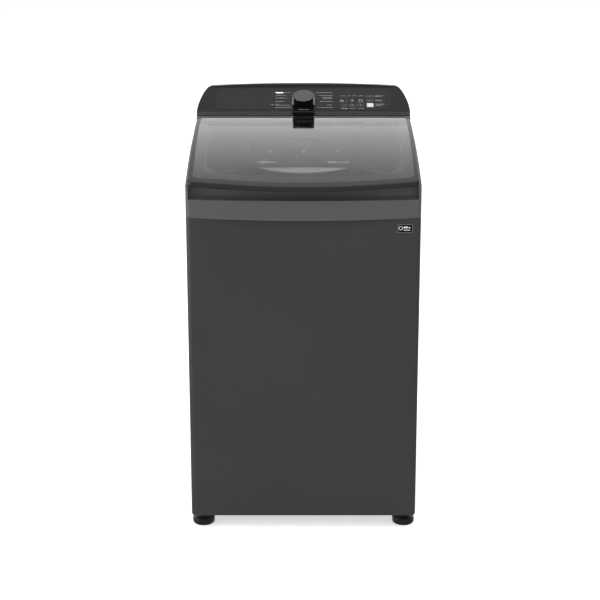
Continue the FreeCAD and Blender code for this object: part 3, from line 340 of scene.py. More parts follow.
screw_places += [(x, 0.857) for x in (-0.272, -0.090, 0.090, 0.272)]
screws = [copied(screw, (x, 0, z)) for x, z in screw_places]
bpy.data.objects.remove(screw)
for i, piece in enumerate(screws):
    stands_for = ["cabinet_screws"] if i == 0 else []
    done(piece, f"cabinet_screw_{i + 1:02d}", screw_steel, "cabinet", "screw_steel", *stands_for, smooth=25)

# ---------------------------------------------------------------- base rails and levelling feet
# Folded zinc rails close the cabinet's bottom. Each foot is a turned black plastic pad on an M10 stud that screws
# into a thread plate in the rail, and a hexagon nut locks it against the sheet.
repaint(zinc_plain, "base_side_rails", "base_cross_rails", "foot_thread_plates", "top_corner_brackets",
        "drive_mount_plate")
repaint(screw_steel, "foot_lock_nuts")
foot_black = finish("foot_black", (0.010, 0.010, 0.011), 0.38, cloud=0.10, cloud_size=0.02, peel=0.00003,
                    peel_size=0.0012)
for name in ("front_left", "front_right", "rear_left", "rear_right"):
    low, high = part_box("foot_" + name)
    at = ((low.x + high.x) / 2, (low.y + high.y) / 2)
    pad_r = (high.x - low.x) / 2
    pad = [(pad_r - 10 * mm, 0.0), (pad_r - 5.5 * mm, 0.0), (pad_r - 4.5 * mm, 0.6 * mm), (pad_r - 4.0 * mm, 1.8 * mm),
           (pad_r - 1.2 * mm, 3.6 * mm), (pad_r, 6.5 * mm), (pad_r, 16.0 * mm), (pad_r - 0.8 * mm, 18.6 * mm),
           (pad_r - 3.0 * mm, 20.0 * mm), (22.0 * mm, 20.4 * mm), (20.0 * mm, 22.0 * mm), (13.5 * mm, 27.0 * mm),
           (5.4 * mm, 27.0 * mm)]
    thread = []
    for i in range(46):
        thread += [(4.4 * mm, (27.2 + 1.5 * i) * mm), (5.0 * mm, (27.9 + 1.5 * i) * mm)]
    foot = cap_ends(turn(pad + thread, vertices=40, at=at))
    done(foot, "levelling_foot_" + name, foot_black, "foot_" + name, "foot_rubber", "foot_" + name, smooth=30)


# ---------------------------------------------------------------- outer tub, suspension and drive
# The outer tub is one light grey polypropylene moulding with ribs under its floor, hung on four steel rods and coil
# springs. The springs are right at rest and below it: above rest they shorten too, where real ones would stretch.
tub_plastic = finish("tub_plastic", (0.46, 0.48, 0.50), 0.45, cloud=0.05, cloud_size=0.12, peel=0.00005,
                     peel_size=0.0015)
cast_metal = finish("cast_aluminium", (0.46, 0.46, 0.47), 0.50, metallic=0.9, cloud=0.10, cloud_size=0.012,
                    peel=0.00008, peel_size=0.0012)
motor_enamel = finish("motor_enamel", (0.030, 0.030, 0.033), 0.35, cloud=0.06, cloud_size=0.03, peel=0.00003,
                      peel_size=0.0015)
pin_steel = finish("pin_steel", (0.50, 0.50, 0.51), 0.25, metallic=1.0, cloud=0.04, cloud_size=0.01, peel=0.000003,
                   peel_size=0.0006)
spring_steel = finish("spring_steel", (0.36, 0.36, 0.38), 0.32, metallic=1.0, cloud=0.08, cloud_size=0.005)
rubber_black = finish("rubber_black", (0.016, 0.016, 0.016), 0.72, cloud=0.10, cloud_size=0.03, peel=0.00005,
                      peel_size=0.0010, specular=0.3)
black_plastic = finish("black_plastic", (0.012, 0.012, 0.013), 0.45, cloud=0.08, cloud_size=0.03, peel=0.00003,
                       peel_size=0.0010)
repaint(tub_plastic, "outer_tub")
repaint(cast_metal, "gearcase", "drive_pulley", "basket_hub")
repaint(pin_steel, "motor_pulley", "drive_shaft", "suspension_rods")
repaint(motor_enamel, "drive_motor")
repaint(rubber_black, "drive_belt", "sump_hose", "drain_hose", "inlet_hoses")
repaint(black_plastic, "drain_pump")


def round_the_axis(piece, count, first=0.0):
    """Copies of a piece, evenly spaced round the machine's upright axis, the piece itself among them."""
    copies = []
    for i in range(count):
        twin = copied(piece)
        twin.data.transform(Matrix.Rotation(first + 2 * math.pi * i / count, 4, "Z"))
        copies.append(twin)
    bpy.data.objects.remove(piece)
    return copies


tub_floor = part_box("outer_tub")[0].z + 16 * mm
rib = begin("cube", size=1, location=(0.162, 0, tub_floor - 4 * mm), scale=(0.196, 0.003, 0.008))
pick(rib, lambda at, way: abs(way.x) > 0.9 and at.z < tub_floor - 5 * mm, "edges")
bpy.ops.mesh.bevel(offset=0.8 * mm, segments=2, affect="EDGES")
bpy.ops.object.mode_set(mode="OBJECT")
done(joined(round_the_axis(rib, 18)), "tub_floor_ribs", tub_plastic, "suspended_tub", "tub_plastic", smooth=30)

spring_low, spring_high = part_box("suspension_springs")
spring_turns, wire_r, coil_r = 9, 1.3 * mm, 13.2 * mm
rod_at = spring_high.x - 15.0 * mm
spring_length = spring_high.z - spring_low.z
section = begin("circle", vertices=8, radius=wire_r, location=(coil_r, 0, spring_low.z + wire_r),
                rotation=(math.pi / 2, 0, 0))
modify(section, "SCREW", axis="Z", angle=2 * math.pi, screw_offset=(spring_length - 2 * wire_r) / spring_turns,
       iterations=spring_turns, steps=20, render_steps=20, use_normal_calculate=True)
cap_ends(section)
springs = [copied(section, (x, y, 0)) for x in (-rod_at, rod_at) for y in (-rod_at, rod_at)]
bpy.data.objects.remove(section)
for i, piece in enumerate(springs):
    stands_for = ["suspension_springs"] if i == 0 else []
    done(piece, f"suspension_spring_{i + 1}", spring_steel, "suspended_tub", "spring_steel", *stands_for, smooth=60)
    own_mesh(piece)

# ---------------------------------------------------------------- wash basket and rings
# The basket is rolled from thin stainless sheet, pierced all over and pressed into upright flutes. A balance ring closes
# its top, and a plastic ring on the outer tub keeps water from splashing over.
stainless = finish("stainless", (0.55, 0.55, 0.56), 0.28, metallic=1.0, cloud=0.04, cloud_size=0.05, peel=0.000006,
                   peel_size=0.0008, stretch=(1, 1, 0.08))
ring_plastic = finish("ring_plastic", (0.62, 0.63, 0.65), 0.42, cloud=0.04, cloud_size=0.06, peel=0.00004,
                      peel_size=0.0012)
repaint(ring_plastic, "balance_ring", "tub_cover_ring")
low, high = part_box("wash_basket")
basket_r = high.x - 0.7 * mm
columns, row_high, first_row = 144, 12.0 * mm, low.z + 14 * mm
rows = int((0.800 - first_row) / row_high)
wall = [(26 * mm, low.z + 0.6 * mm), (basket_r - 8 * mm, low.z + 0.6 * mm), (basket_r - 2.4 * mm, low.z + 3 * mm),
        (basket_r, low.z + 9 * mm)]
wall += [(basket_r, first_row + row_high * k) for k in range(rows + 1)] + [(basket_r, high.z)]
basket = turn(wall, vertices=columns)


def column_of(at):
    return int(round((math.atan2(at.y, at.x) / (2 * math.pi) - 0.5 / columns) * columns)) % columns


last_row = first_row + rows * row_high
pick(basket, lambda at, way: first_row < at.z < last_row and column_of(at) % 12 < 2)
flute = 1 - 3.5 * mm / basket_r
bpy.ops.transform.resize(value=(flute, flute, 1), center_override=(0, 0, 0))
pick(basket, lambda at, way: first_row < at.z < last_row and column_of(at) % 12 > 2)
bpy.ops.mesh.inset(thickness=3.5 * mm, use_individual=True)
bpy.ops.mesh.delete(type="FACE")
bpy.ops.object.mode_set(mode="OBJECT")
modify(basket, "SOLIDIFY", thickness=0.9 * mm, offset=0.0)
done(basket, "pierced_basket", stainless, "basket", "stainless", "wash_basket", smooth=40)

# ---------------------------------------------------------------- agitator and lint filter
# The agitator is a hollow grey polypropylene post. Four swept fins move the wash at its foot and two spiral vanes pull
# it down along the post. A darker cup that lifts out of its top collects lint.
agitator_plastic = finish("agitator_plastic", (0.34, 0.36, 0.39), 0.40, cloud=0.05, cloud_size=0.08,
                          peel=0.00005, peel_size=0.0014)
filter_plastic = finish("filter_plastic", (0.16, 0.18, 0.21), 0.40, cloud=0.05, cloud_size=0.03, peel=0.00004,
                        peel_size=0.0012)
foot_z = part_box("agitator")[0].z
outside = [(166, 0.5), (168, 2), (168, 7), (150, 13), (112, 27), (84, 43), (66, 63), (57, 89), (54, 127), (52, 237),
           (50.5, 337), (50, 359), (49.2, 360)]
inside = [(46.8, 360), (46.4, 359), (48, 237), (50, 127), (53, 89), (62, 63), (80, 41), (108, 23), (148, 8), (164, 0.5)]
post = turn([(r * mm, foot_z + z * mm) for r, z in outside + inside], vertices=96, closed=True)

fin_root, fin_half = 44 * mm, 7 * mm
fin_steps = [(16, 188), (30, 176), (48, 146), (80, 116), (130, 97), (190, 84), (225, 72), (240, 58)]
reach = 188 * mm
fin = begin("cube", size=1, location=((fin_root + reach) / 2, 0, foot_z + 7 * mm),
            scale=(reach - fin_root, 2 * fin_half, 10 * mm))
pick(fin, lambda at, way: way.z > 0.9)
middle, top_z = (fin_root + reach) / 2, foot_z + 12 * mm
for z, out in fin_steps:
    new_reach, new_z = out * mm, foot_z + z * mm
    new_middle = (fin_root + new_reach) / 2
    sweep = 0.05 * (new_z - top_z)
    bpy.ops.mesh.extrude_region_move(TRANSFORM_OT_translate={"value": (new_middle - middle, sweep, new_z - top_z)})
    bpy.ops.transform.resize(value=((new_reach - fin_root) / (reach - fin_root), 0.93, 1),
                             center_override=(new_middle, 0, new_z))
    reach, middle, top_z = new_reach, new_middle, new_z
bpy.ops.object.mode_set(mode="OBJECT")
modify(fin, "SUBSURF", levels=2, render_levels=2)
fins = round_the_axis(fin, 4, math.pi / 4)

vane = begin("plane", size=1, location=(57 * mm, 0, foot_z + 250 * mm), rotation=(math.pi / 2, 0, 0),
             scale=(18 * mm, 4 * mm, 1))
bpy.ops.object.mode_set(mode="EDIT")
bpy.ops.mesh.select_all(action="SELECT")
bpy.ops.mesh.bevel(offset=1.5 * mm, segments=3, affect="VERTICES")
bpy.ops.mesh.select_mode(type="FACE")
bpy.ops.mesh.select_all(action="SELECT")
bpy.ops.mesh.delete(type="ONLY_FACE")
bpy.ops.object.mode_set(mode="OBJECT")
modify(vane, "SCREW", axis="Z", angle=1.5 * math.pi, screw_offset=95 * mm, iterations=1, steps=60, render_steps=60,
       use_normal_calculate=True)
vanes = round_the_axis(cap_ends(vane), 2)
done(joined([post] + fins + vanes), "agitator_moulding", agitator_plastic, "agitator", "agitator_plastic", "agitator",
     smooth=45)

cup_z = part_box("lint_filter_cup")[0].z
cup_wall = [(3, 0), (38, 0), (40, 1.5), (43.6, 60.4), (49.2, 60.4), (50, 61.4), (49, 80), (47.6, 88), (44, 92.5),
            (41, 93.6), (38.5, 92.5), (36.5, 86), (36.2, 84), (36, 5), (34, 4), (3, 4)]
cup = cap_ends(turn([(r * mm, cup_z + z * mm) for r, z in cup_wall], vertices=72))
grip = begin("cube", size=1, location=(0, 0, cup_z + 74 * mm), scale=(74 * mm, 5 * mm, 14 * mm))
pick(grip, lambda at, way: abs(way.x) > 0.9, "edges")
bpy.ops.mesh.bevel(offset=1.6 * mm, segments=3, affect="EDGES")
bpy.ops.object.mode_set(mode="OBJECT")
combs = []
for i in range(24):
    comb = begin("cube", size=1, location=(33 * mm, 0, cup_z + 30 * mm), scale=(7 * mm, 1.2 * mm, 50 * mm))
    comb.data.transform(Matrix.Rotation(2 * math.pi * i / 24, 4, "Z"))
    combs.append(comb)
done(joined([cup, grip] + combs), "lint_cup", filter_plastic, "lint_filter", "filter_plastic", "lint_filter_cup",
     smooth=35)

# ---------------------------------------------------------------- moulded top cover
# One moulding in graphite plastic: the bowed front band, the scooped grip recess, the deck under the lid and the funnel
# down to the opening. Its skin is a fine spark-eroded texture. Rubber bumpers and the lid lock sit in it.
cover_skin = finish("cover_plastic", (0.075, 0.075, 0.077), 0.44, metallic=0.15, grain=0.10, cloud=0.03, peel=0.00003,
                    peel_size=0.0009, specular=0.40)
repaint(cover_skin, "top_cover")
repaint(rubber_black, "lid_bumpers")
repaint(black_plastic, "lid_lock")

# ---------------------------------------------------------------- detergent drawer and spout
# The drawer slides out of a housing at the funnel's rear. Its front has a shallow round-topped finger recess, three
# small printed marks and two printed strips. Below it a light grey spout with a row of pinholes spreads the water.
drawer_plastic = finish("drawer_plastic", (0.060, 0.060, 0.063), 0.46, cloud=0.03, peel=0.00003, peel_size=0.0009)
print_white = finish("print_white", (0.80, 0.80, 0.81), 0.50, cloud=0.03, cloud_size=0.004)
print_grey = finish("print_grey", (0.55, 0.55, 0.56), 0.50, cloud=0.04, cloud_size=0.004)
light_grey = finish("light_grey_plastic", (0.70, 0.71, 0.72), 0.42, cloud=0.04, cloud_size=0.05, peel=0.00003,
                    peel_size=0.0010)
repaint(drawer_plastic, "dispenser_drawer")
repaint(light_grey, "dispenser_housing")


def cut_with(piece, tool):
    """Cuts a closed tool out of a closed piece."""
    modify(piece, "BOOLEAN", object=tool, operation="DIFFERENCE", solver="MANIFOLD")
    bpy.data.objects.remove(tool)
    return piece


low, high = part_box("drawer_front")
front_middle = (low + high) / 2
front = begin("cube", size=1, location=front_middle, scale=high - low)
pick(front, lambda at, way: abs(way.y) > 0.9, "edges")
bpy.ops.mesh.bevel(offset=4.0 * mm, segments=5, affect="EDGES")
pick(front, lambda at, way: at.y < low.y + 0.1 * mm and abs(way.y) < 0.1, "edges")
bpy.ops.mesh.bevel(offset=1.2 * mm, segments=3, affect="EDGES")
pick(front, lambda at, way: way.y < -0.999)
bpy.ops.mesh.inset(thickness=3.0 * mm)
bpy.ops.mesh.inset(thickness=0.5 * mm, depth=-0.4 * mm)
bpy.ops.object.mode_set(mode="OBJECT")
recess_r, recess_drop = 71.0 * mm, 38.0 * mm
scoop = begin("cone", vertices=96, radius1=recess_r - 4 * mm, radius2=recess_r + 2 * mm, depth=6.0 * mm)
lay(scoop, (0, -1, 0), (0, low.y + 0.2 * mm, low.z - recess_drop))
cut_with(front, scoop)
done(front, "drawer_face", drawer_plastic, "drawer", "drawer_plastic", "drawer_front", smooth=30)

front_y = low.y + 0.34 * mm
strip_z, mark_z = low.z + 6.5 * mm, low.z + 39.5 * mm


def printed_plane(x0, x1, z0, z1, y=front_y):
    """A printed area on the drawer's front."""
    return begin("plane", size=1, location=((x0 + x1) / 2, y, (z0 + z1) / 2), rotation=(math.pi / 2, 0, 0),
                 scale=(x1 - x0, z1 - z0, 1))


def thickened(pieces, name, material, body, slot, thick=0.10 * mm):
    """Printed areas as one thin film that stands a little proud."""
    film = joined(pieces)
    modify(film, "SOLIDIFY", thickness=thick, offset=1.0)
    return done(film, name, material, body, slot, smooth=0)


strips = [printed_plane(-0.1225, -0.0975, strip_z, strip_z + 5.5 * mm),
          printed_plane(0.0675, 0.0890, strip_z, strip_z + 5.5 * mm)]
dots = []
for x, petals in ((-0.0940, 3), (0.0, 4), (0.0930, 8)):
    for k in range(petals):
        turn_at = 2 * math.pi * (k + 0.5) / petals
        spot = begin("circle", vertices=10, radius=1.9 * mm if petals < 8 else 1.2 * mm, fill_type="NGON",
                     location=(x + 3.2 * mm * math.cos(turn_at), front_y, mark_z + 3.2 * mm * math.sin(turn_at)),
                     rotation=(math.pi / 2, 0, 0))
        dots.append(spot)
thickened(strips, "drawer_label_light", print_white, "drawer", "drawer_plastic")
thickened(dots, "drawer_marks", print_grey, "drawer", "drawer_plastic")
grey_strips = [printed_plane(-0.0970, -0.0760, strip_z + 0.5 * mm, strip_z + 5.0 * mm),
               printed_plane(0.0895, 0.1280, strip_z + 0.5 * mm, strip_z + 5.0 * mm),
               printed_plane(-0.1300, -0.1245, strip_z + 0.5 * mm, strip_z + 5.0 * mm)]
thickened(grey_strips, "drawer_label_grey", print_grey, "drawer", "drawer_plastic")


def copy_of_node(node):
    """A closed copy of a CAD node for further shaping."""
    source = frame["nodes"][node]
    twin = bpy.data.objects.new(node + "_copy", source.data.copy())
    bpy.context.scene.collection.objects.link(twin)
    bpy.ops.object.select_all(action="DESELECT")
    twin.select_set(True)
    bpy.context.view_layer.objects.active = twin
    bpy.ops.object.mode_set(mode="EDIT")
    bpy.ops.mesh.select_all(action="SELECT")
    bpy.ops.mesh.remove_doubles(threshold=0.00001)
    bpy.ops.mesh.normals_make_consistent(inside=False)
    bpy.ops.object.mode_set(mode="OBJECT")
    return twin


spout = copy_of_node("dispenser_spout")
low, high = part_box("dispenser_spout")
pins = []
for i in range(-14, 15):
    x = i * 4.0 * mm
    y = low.y + 5.5 * mm + 9.0 * mm * (x / 0.126) ** 2 * 2
    pins.append(begin("cylinder", vertices=10, radius=0.9 * mm, depth=30 * mm, location=(x, y, low.z + 6 * mm)))
cut_with(spout, joined(pins))
done(spout, "spout_with_pinholes", light_grey, "cabinet", "spout_plastic", "dispenser_spout", smooth=30)

# ---------------------------------------------------------------- lid
# A bowed pane of grey tempered glass is bonded into a moulded graphite frame, which turns on two rear steel pins.
# A short black pad on the rear edge carries on the line of the dial's tongue.
frame_plastic = finish("lid_plastic", (0.022, 0.022, 0.0228), 0.36, metallic=0.2, grain=0.08, cloud=0.03, peel=0.00002,
                       peel_size=0.0010, specular=0.40)
gloss_black = finish("gloss_black", (0.004, 0.004, 0.0045), 0.10, rough_spread=0.03, cloud=0.05, cloud_size=0.05,
                     peel=0.000004, peel_size=0.006, specular=0.4)
repaint(frame_plastic, "lid_frame")
repaint(gloss_black, "lid_rear_pad")
repaint(black_plastic, "hinge_brackets")
repaint(pin_steel, "hinge_pins")


def tinted_glass(name, tint):
    """Clear gloss outside, grey in depth. It lets shadow rays through, so that the drum is lit."""
    material = bpy.data.materials.new(name)
    material.use_nodes = True
    tree = material.node_tree
    tree.nodes.clear()
    add = nodes_of(tree)
    place = add("ShaderNodeTexCoord").outputs["Object"]
    wave = add("ShaderNodeTexNoise", Vector=place, Scale=9.0, Detail=1.0)
    bump = add("ShaderNodeBump", Height=wave.outputs["Fac"], Strength=1.0, Distance=0.000008)
    smear = add("ShaderNodeTexNoise", Vector=place, Scale=14.0, Detail=3.0)
    gloss = add("ShaderNodeMapRange", Value=smear.outputs["Fac"], From_Min=0.4, From_Max=0.7, To_Min=0.0, To_Max=0.012)
    pane = add("ShaderNodeBsdfPrincipled", Base_Color=tint, Roughness=gloss.outputs[0], Normal=bump.outputs[0])
    pane.inputs["Transmission Weight"].default_value = 1.0
    pane.inputs["IOR"].default_value = 1.50
    clear = add("ShaderNodeBsdfTransparent", Color=(0.85, 0.85, 0.85, 1))
    shadow = add("ShaderNodeLightPath").outputs["Is Shadow Ray"]
    both = add("ShaderNodeMixShader", i0=shadow, i1=pane.outputs[0], i2=clear.outputs[0])
    add("ShaderNodeOutputMaterial", Surface=both.outputs[0])
    return material


repaint(tinted_glass("grey_glass", (0.50, 0.51, 0.52, 1)), "lid_glass")

# ---------------------------------------------------------------- console and its printed film
# The console is a satin black moulding screwed to the rear of the cover. A dark film lies in a shallow recess of its
# sloping face and carries the printed rows round the dial, the option marks and the key frames.
console_skin = finish("console_plastic", (0.0062, 0.0062, 0.0065), 0.40, cloud=0.04, cloud_size=0.08, peel=0.00003,
                      peel_size=0.0007, specular=0.35)
film_skin = finish("film", (0.0098, 0.0098, 0.0103), 0.36, cloud=0.03, cloud_size=0.06, peel=0.00001,
                   peel_size=0.0005, specular=0.35)
board_green = finish("board_green", (0.02, 0.16, 0.07), 0.35, cloud=0.15, cloud_size=0.01)
add = nodes_of(console_skin.node_tree)
lip_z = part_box("console_housing")[0].z
height = add("ShaderNodeSeparateXYZ", i0=add("ShaderNodeTexCoord").outputs["Object"]).outputs["Z"]
# Painted light: the skin's colour is painted paler toward its lower lip, a painted highlight in place of the glass's
# reflection there, and painted dark in its lowest millimetres at the seam, a painted shadow in the gap.
painted_lip_highlight = add("ShaderNodeMapRange", {"interpolation_type": "SMOOTHSTEP"}, Value=height, From_Min=lip_z + 4 * mm,
           From_Max=lip_z + 19 * mm, To_Min=11.0, To_Max=1.0).outputs[0]
painted_seam_shadow = add("ShaderNodeMapRange", Value=height, From_Min=lip_z + 2 * mm, From_Max=lip_z + 4 * mm, To_Min=0.1,
           To_Max=1.0).outputs[0]
painted_lip_light_and_seam_shade = add("ShaderNodeMath", {"operation": "MULTIPLY"}, i0=painted_lip_highlight, i1=painted_seam_shadow).outputs[0]
surface = next(n for n in console_skin.node_tree.nodes if n.type == "BSDF_PRINCIPLED")
plain = surface.inputs["Base Color"].links[0].from_socket
# The console's colour is scaled by the painted highlight on the lip and the painted shadow at the seam.
console_skin.node_tree.links.new(add("ShaderNodeVectorMath", {"operation": "SCALE"}, i0=plain, Scale=painted_lip_light_and_seam_shade).outputs[0],
                                 surface.inputs["Base Color"])
repaint(console_skin, "console_housing")
# Mirrored rays pass through the console, so the lid's glass shows the sky behind it.
hidden_in_glass = [name for name in frame["nodes"] if name.startswith(("console", "control", "button"))]
for node in hidden_in_glass:
    frame["nodes"][node].visible_glossy = False
repaint(film_skin, "control_overlay")
repaint(board_green, "control_board")
repaint(gloss_black, "knob_hub")

dial_joint = next(j for j in frame["joints"] if j["name"] == "knob_turn")
outward = Vector(dial_joint["axis"])
uphill = Vector((1, 0, 0)).cross(outward) * -1
dial_foot = Vector(dial_joint["pos_m"]) - outward * 10 * mm
if uphill.z < 0:
    uphill = -uphill
film_out = 0.3 * mm


def on_face(x, up, out=0.0):
    """A point on the sloping face: x along the machine, up the slope from the dial's middle, out from the face."""
    return dial_foot + Vector((x, 0, 0)) + uphill * up + outward * out


face_turn = Matrix((Vector((1, 0, 0)), uphill, outward)).transposed().to_4x4()


def on_slope(piece, x, up, out):
    """Lays a flat piece, made about the origin, on the sloping face."""
    bpy.ops.object.mode_set(mode="OBJECT")
    piece.data.transform(Matrix.Translation(on_face(x, up, out)) @ face_turn)
    return piece


def bar(x0, x1, up, tall, out=film_out):
    """A printed bar from x0 to x1, centred at a height up the face."""
    plane = begin("plane", size=1)
    plane.data.transform(Matrix.Diagonal((x1 - x0, tall, 1, 1)))
    return on_slope(plane, (x0 + x1) / 2, up, out)


def words(x0, x1, up, tall, out=film_out):
    """A row of short bars that stand for a printed caption. They aren't letters."""
    row, x = [], x0
    while x < x1 - 1.5 * mm:
        length = min(ink.uniform(3.0, 8.0) * mm, x1 - x)
        row.append(bar(x, x + length, up, tall * ink.uniform(0.8, 1.0), out))
        x += length + 1.0 * mm
    return row


def outline_bar(x, up, wide, tall, line, out=film_out):
    """A thin rectangular outline."""
    w, t = wide / 2, tall / 2
    return [bar(x - w, x + w, up + t - line / 2, line, out), bar(x - w, x + w, up - t + line / 2, line, out),
            bar(x - w, x - w + line, up, tall - 2 * line, out), bar(x + w - line, x + w, up, tall - 2 * line, out)]


def spot(x, up, radius, out=film_out, hole=0.0):
    """A printed disc or ring."""
    disc = begin("circle", vertices=24, radius=radius, fill_type="NGON")
    if hole:
        bpy.ops.object.mode_set(mode="EDIT")
        bpy.ops.mesh.select_all(action="SELECT")
        bpy.ops.mesh.inset(thickness=radius - hole)
        bpy.ops.mesh.delete(type="FACE")
        bpy.ops.object.mode_set(mode="OBJECT")
    return on_slope(disc, x, up, out)


ink = random.Random(7)
print_soft = finish("print_soft", (0.20, 0.20, 0.205), 0.5, cloud=0.05, cloud_size=0.004)
print_faint = finish("print_faint", (0.10, 0.10, 0.103), 0.5, cloud=0.05, cloud_size=0.004)
row_left = -79.0 * mm
dial_r = 31.0 * mm
# Captions left of the dial: (height up the face from the dial's middle, right-hand end).
left_rows = [(36.2, -46.0), (24.0, -48.0), (7.4, -55.5), (-6.2, -69.0), (-11.3, -36.5), (-22.3, -33.0)]
right_rows = [(50.0, 35.5), (36.2, 44.0), (27.0, 55.0), (21.0, 55.0), (7.4, 47.0), (-10.0, 66.5), (-22.3, 41.0)]
row_right = 82.5 * mm
caption, faint = [], []
for up, end in left_rows:
    caption += words(row_left, end * mm, up * mm, 2.0 * mm)
    if up not in (-6.2, -22.3):
        faint.append(bar((end + 1.5) * mm, -dial_r - 3 * mm, up * mm, 0.5 * mm))
for up, start in right_rows:
    caption += words(start * mm, row_right, up * mm, 2.0 * mm)
    if up != 27.0:
        faint.append(bar(dial_r + 3 * mm, (start - 1.5) * mm, up * mm, 0.5 * mm))
caption += words(-91 * mm, -83 * mm, -8.0 * mm, 2.0 * mm)
tag = [bar(-79 * mm, -58.5 * mm, 49.8 * mm, 4.6 * mm)]
caption += words(-57 * mm, -37.5 * mm, 49.8 * mm, 2.4 * mm)

# Option block: four lamp captions over three keys, with a mark above each key and a caption below it.
for x0, x1 in ((107, 120), (126, 134), (139, 151), (157, 170)):
    caption += words(x0 * mm, x1 * mm, 34.6 * mm, 1.8 * mm)
faint.append(bar(171 * mm, 177 * mm, 32.0 * mm, 0.5 * mm))
for x, up in ((105.0, 10.0), (108.7, 14.0), (112.5, 10.0), (138.0, 16.0), (136.0, 9.5), (140.0, 9.5), (157.5, 13.0),
              (162.0, 16.0), (166.5, 13.0)):
    caption.append(spot(x * mm, up * mm, 2.3 * mm, hole=1.1 * mm))
for x in (156.0, 160.0, 164.0, 168.0):
    caption.append(spot(x * mm, 4.2 * mm, 1.3 * mm))
caption += words(102 * mm, 115 * mm, 7.4 * mm, 1.6 * mm)
faint += [bar(122.5 * mm, 123.2 * mm, 15.0 * mm, 24 * mm), bar(118 * mm, 123 * mm, 27.0 * mm, 0.6 * mm),
          bar(118 * mm, 123 * mm, 3.0 * mm, 0.6 * mm)]
for x0, x1, up in ((107, 124, -25.5), (107, 124, -28.6), (130, 147, -26.3), (154.5, 173, -26.3),
                   (203, 227, 34.5), (203, 219, 31.4), (203, 222, 13.6), (203, 224, 10.2),
                   (203, 231, -5.6), (203, 225, -9.6), (203, 217, -13.4)):
    caption += words(x0 * mm, x1 * mm, up * mm, 1.8 * mm)
for name, parts, material in (("film_captions", caption, print_soft), ("film_ticks", faint, print_faint),
                              ("film_tag", tag, print_white)):
    thickened(parts, name, material, "cabinet", "overlay_film", thick=0.05 * mm)

# ---------------------------------------------------------------- keys
# Each key is a small film-covered cap that moves in its own opening, with a printed frame and mark. The start key is
# moulded in light grey.
start_grey = finish("start_grey", (0.38, 0.40, 0.395), 0.40, cloud=0.03, cloud_size=0.01, peel=0.00001,
                    peel_size=0.0006)
for name in ("soil_level", "water_temperature", "extra_rinse", "power", "delay_start", "start_pause"):
    node = "button_" + name
    repaint(start_grey if name == "start_pause" else film_skin, node)
    low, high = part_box(node)
    x, wide = (low.x + high.x) / 2, high.x - low.x
    corners = [v.co - dial_foot for v in frame["nodes"][node].data.vertices]
    tops = [corner for corner in corners if corner.dot(outward) > 0.45 * mm]
    ups = [v.dot(uphill) for v in tops]
    up, tall = (max(ups) + min(ups)) / 2, max(ups) - min(ups)
    top = 0.5 * mm
    slot = "start_white" if name == "start_pause" else "overlay_film"
    if name == "start_pause":
        mark = outline_bar(x, up, 7.5 * mm, 8.0 * mm, 0.9 * mm, top)
        mark.append(bar(x - 1.8 * mm, x + 1.8 * mm, up, 3.0 * mm, top))
        thickened(mark, "mark_" + name, print_grey, node, slot, thick=0.05 * mm)
        continue
    mark = outline_bar(x, up, wide - 2.0 * mm, tall - 1.4 * mm, 0.7 * mm, top)
    thickened(mark, "frame_" + name, print_faint, node, slot, thick=0.05 * mm)
    if name == "delay_start":
        mark = [spot(x - 3 * mm, up, 1.5 * mm, top), spot(x + 3 * mm, up, 1.5 * mm, top)]
    elif name == "soil_level":
        mark = [bar(x - 2.5 * mm, x + 2.5 * mm, up, 0.9 * mm, top)]
    else:
        mark = [spot(x, up, 2.3 * mm, top, hole=1.0 * mm),
                bar(x - 0.4 * mm, x + 0.4 * mm, up + 1.6 * mm, 2.0 * mm, top)]
    thickened(mark, "mark_" + name, print_soft, node, slot, thick=0.05 * mm)

# ---------------------------------------------------------------- dial
# The dial is a gloss black ring with a fine groove near its foot. A dished disc of dark anodised aluminium, spun to a
# satin ring grain, is pressed into its top. A short light bar is printed on the front of the fixed hub below it.
spun = bpy.data.materials.new("spun_aluminium")
spun.use_nodes = True
spun.node_tree.nodes.clear()
add = nodes_of(spun.node_tree)
centred = add("ShaderNodeMapping", Vector=add("ShaderNodeTexCoord").outputs["Object"],
              Location=tuple(-(face_turn.to_3x3().inverted() @ dial_foot)),
              Rotation=tuple(face_turn.to_3x3().inverted().to_euler())).outputs[0]
rings = add("ShaderNodeTexWave", {"wave_type": "RINGS", "rings_direction": "Z"}, Vector=centred, Scale=700.0,
            Distortion=1.5, Detail=2.0)
tone = add("ShaderNodeMapRange", Value=rings.outputs["Fac"], To_Min=0.9, To_Max=1.1).outputs[0]
metal = add("ShaderNodeBsdfPrincipled", Roughness=0.14, Base_Color=add(
    "ShaderNodeVectorMath", {"operation": "SCALE"}, i0=(0.27, 0.27, 0.275), Scale=tone).outputs[0],
    Normal=add("ShaderNodeBump", Height=rings.outputs["Fac"], Strength=0.4, Distance=0.00001).outputs[0])
metal.inputs["Metallic"].default_value = 1.0
add("ShaderNodeOutputMaterial", Surface=metal.outputs[0])

ring_r, ring_low, ring_high = 30.6 * mm, 7.4 * mm, 27.0 * mm
profile = [(3.0 * mm, ring_low), (ring_r - 1.0 * mm, ring_low), (ring_r, ring_low + 0.8 * mm),
           (ring_r, ring_low + 5.2 * mm), (ring_r - 0.5 * mm, ring_low + 5.5 * mm),
           (ring_r - 0.5 * mm, ring_low + 5.9 * mm), (ring_r, ring_low + 6.2 * mm),
           (ring_r - 0.2 * mm, ring_high - 2.0 * mm), (ring_r - 0.7 * mm, ring_high - 0.6 * mm),
           (ring_r - 1.3 * mm, ring_high), (ring_r - 1.9 * mm, ring_high - 0.2 * mm),
           (ring_r - 2.1 * mm, ring_high - 1.0 * mm),
           (ring_r - 4.0 * mm, ring_high - 3.2 * mm), (3.0 * mm, ring_high - 4.4 * mm)]
dial = cap_ends(turn(profile, vertices=96))
dial.data.transform(Matrix.Translation(dial_foot) @ face_turn)
done(dial, "dial_ring", gloss_black, "cycle_knob", "black_matte", "cycle_knob", smooth=30)
dish = [(ring_r - 2.2 * mm, ring_high - 0.7 * mm)]
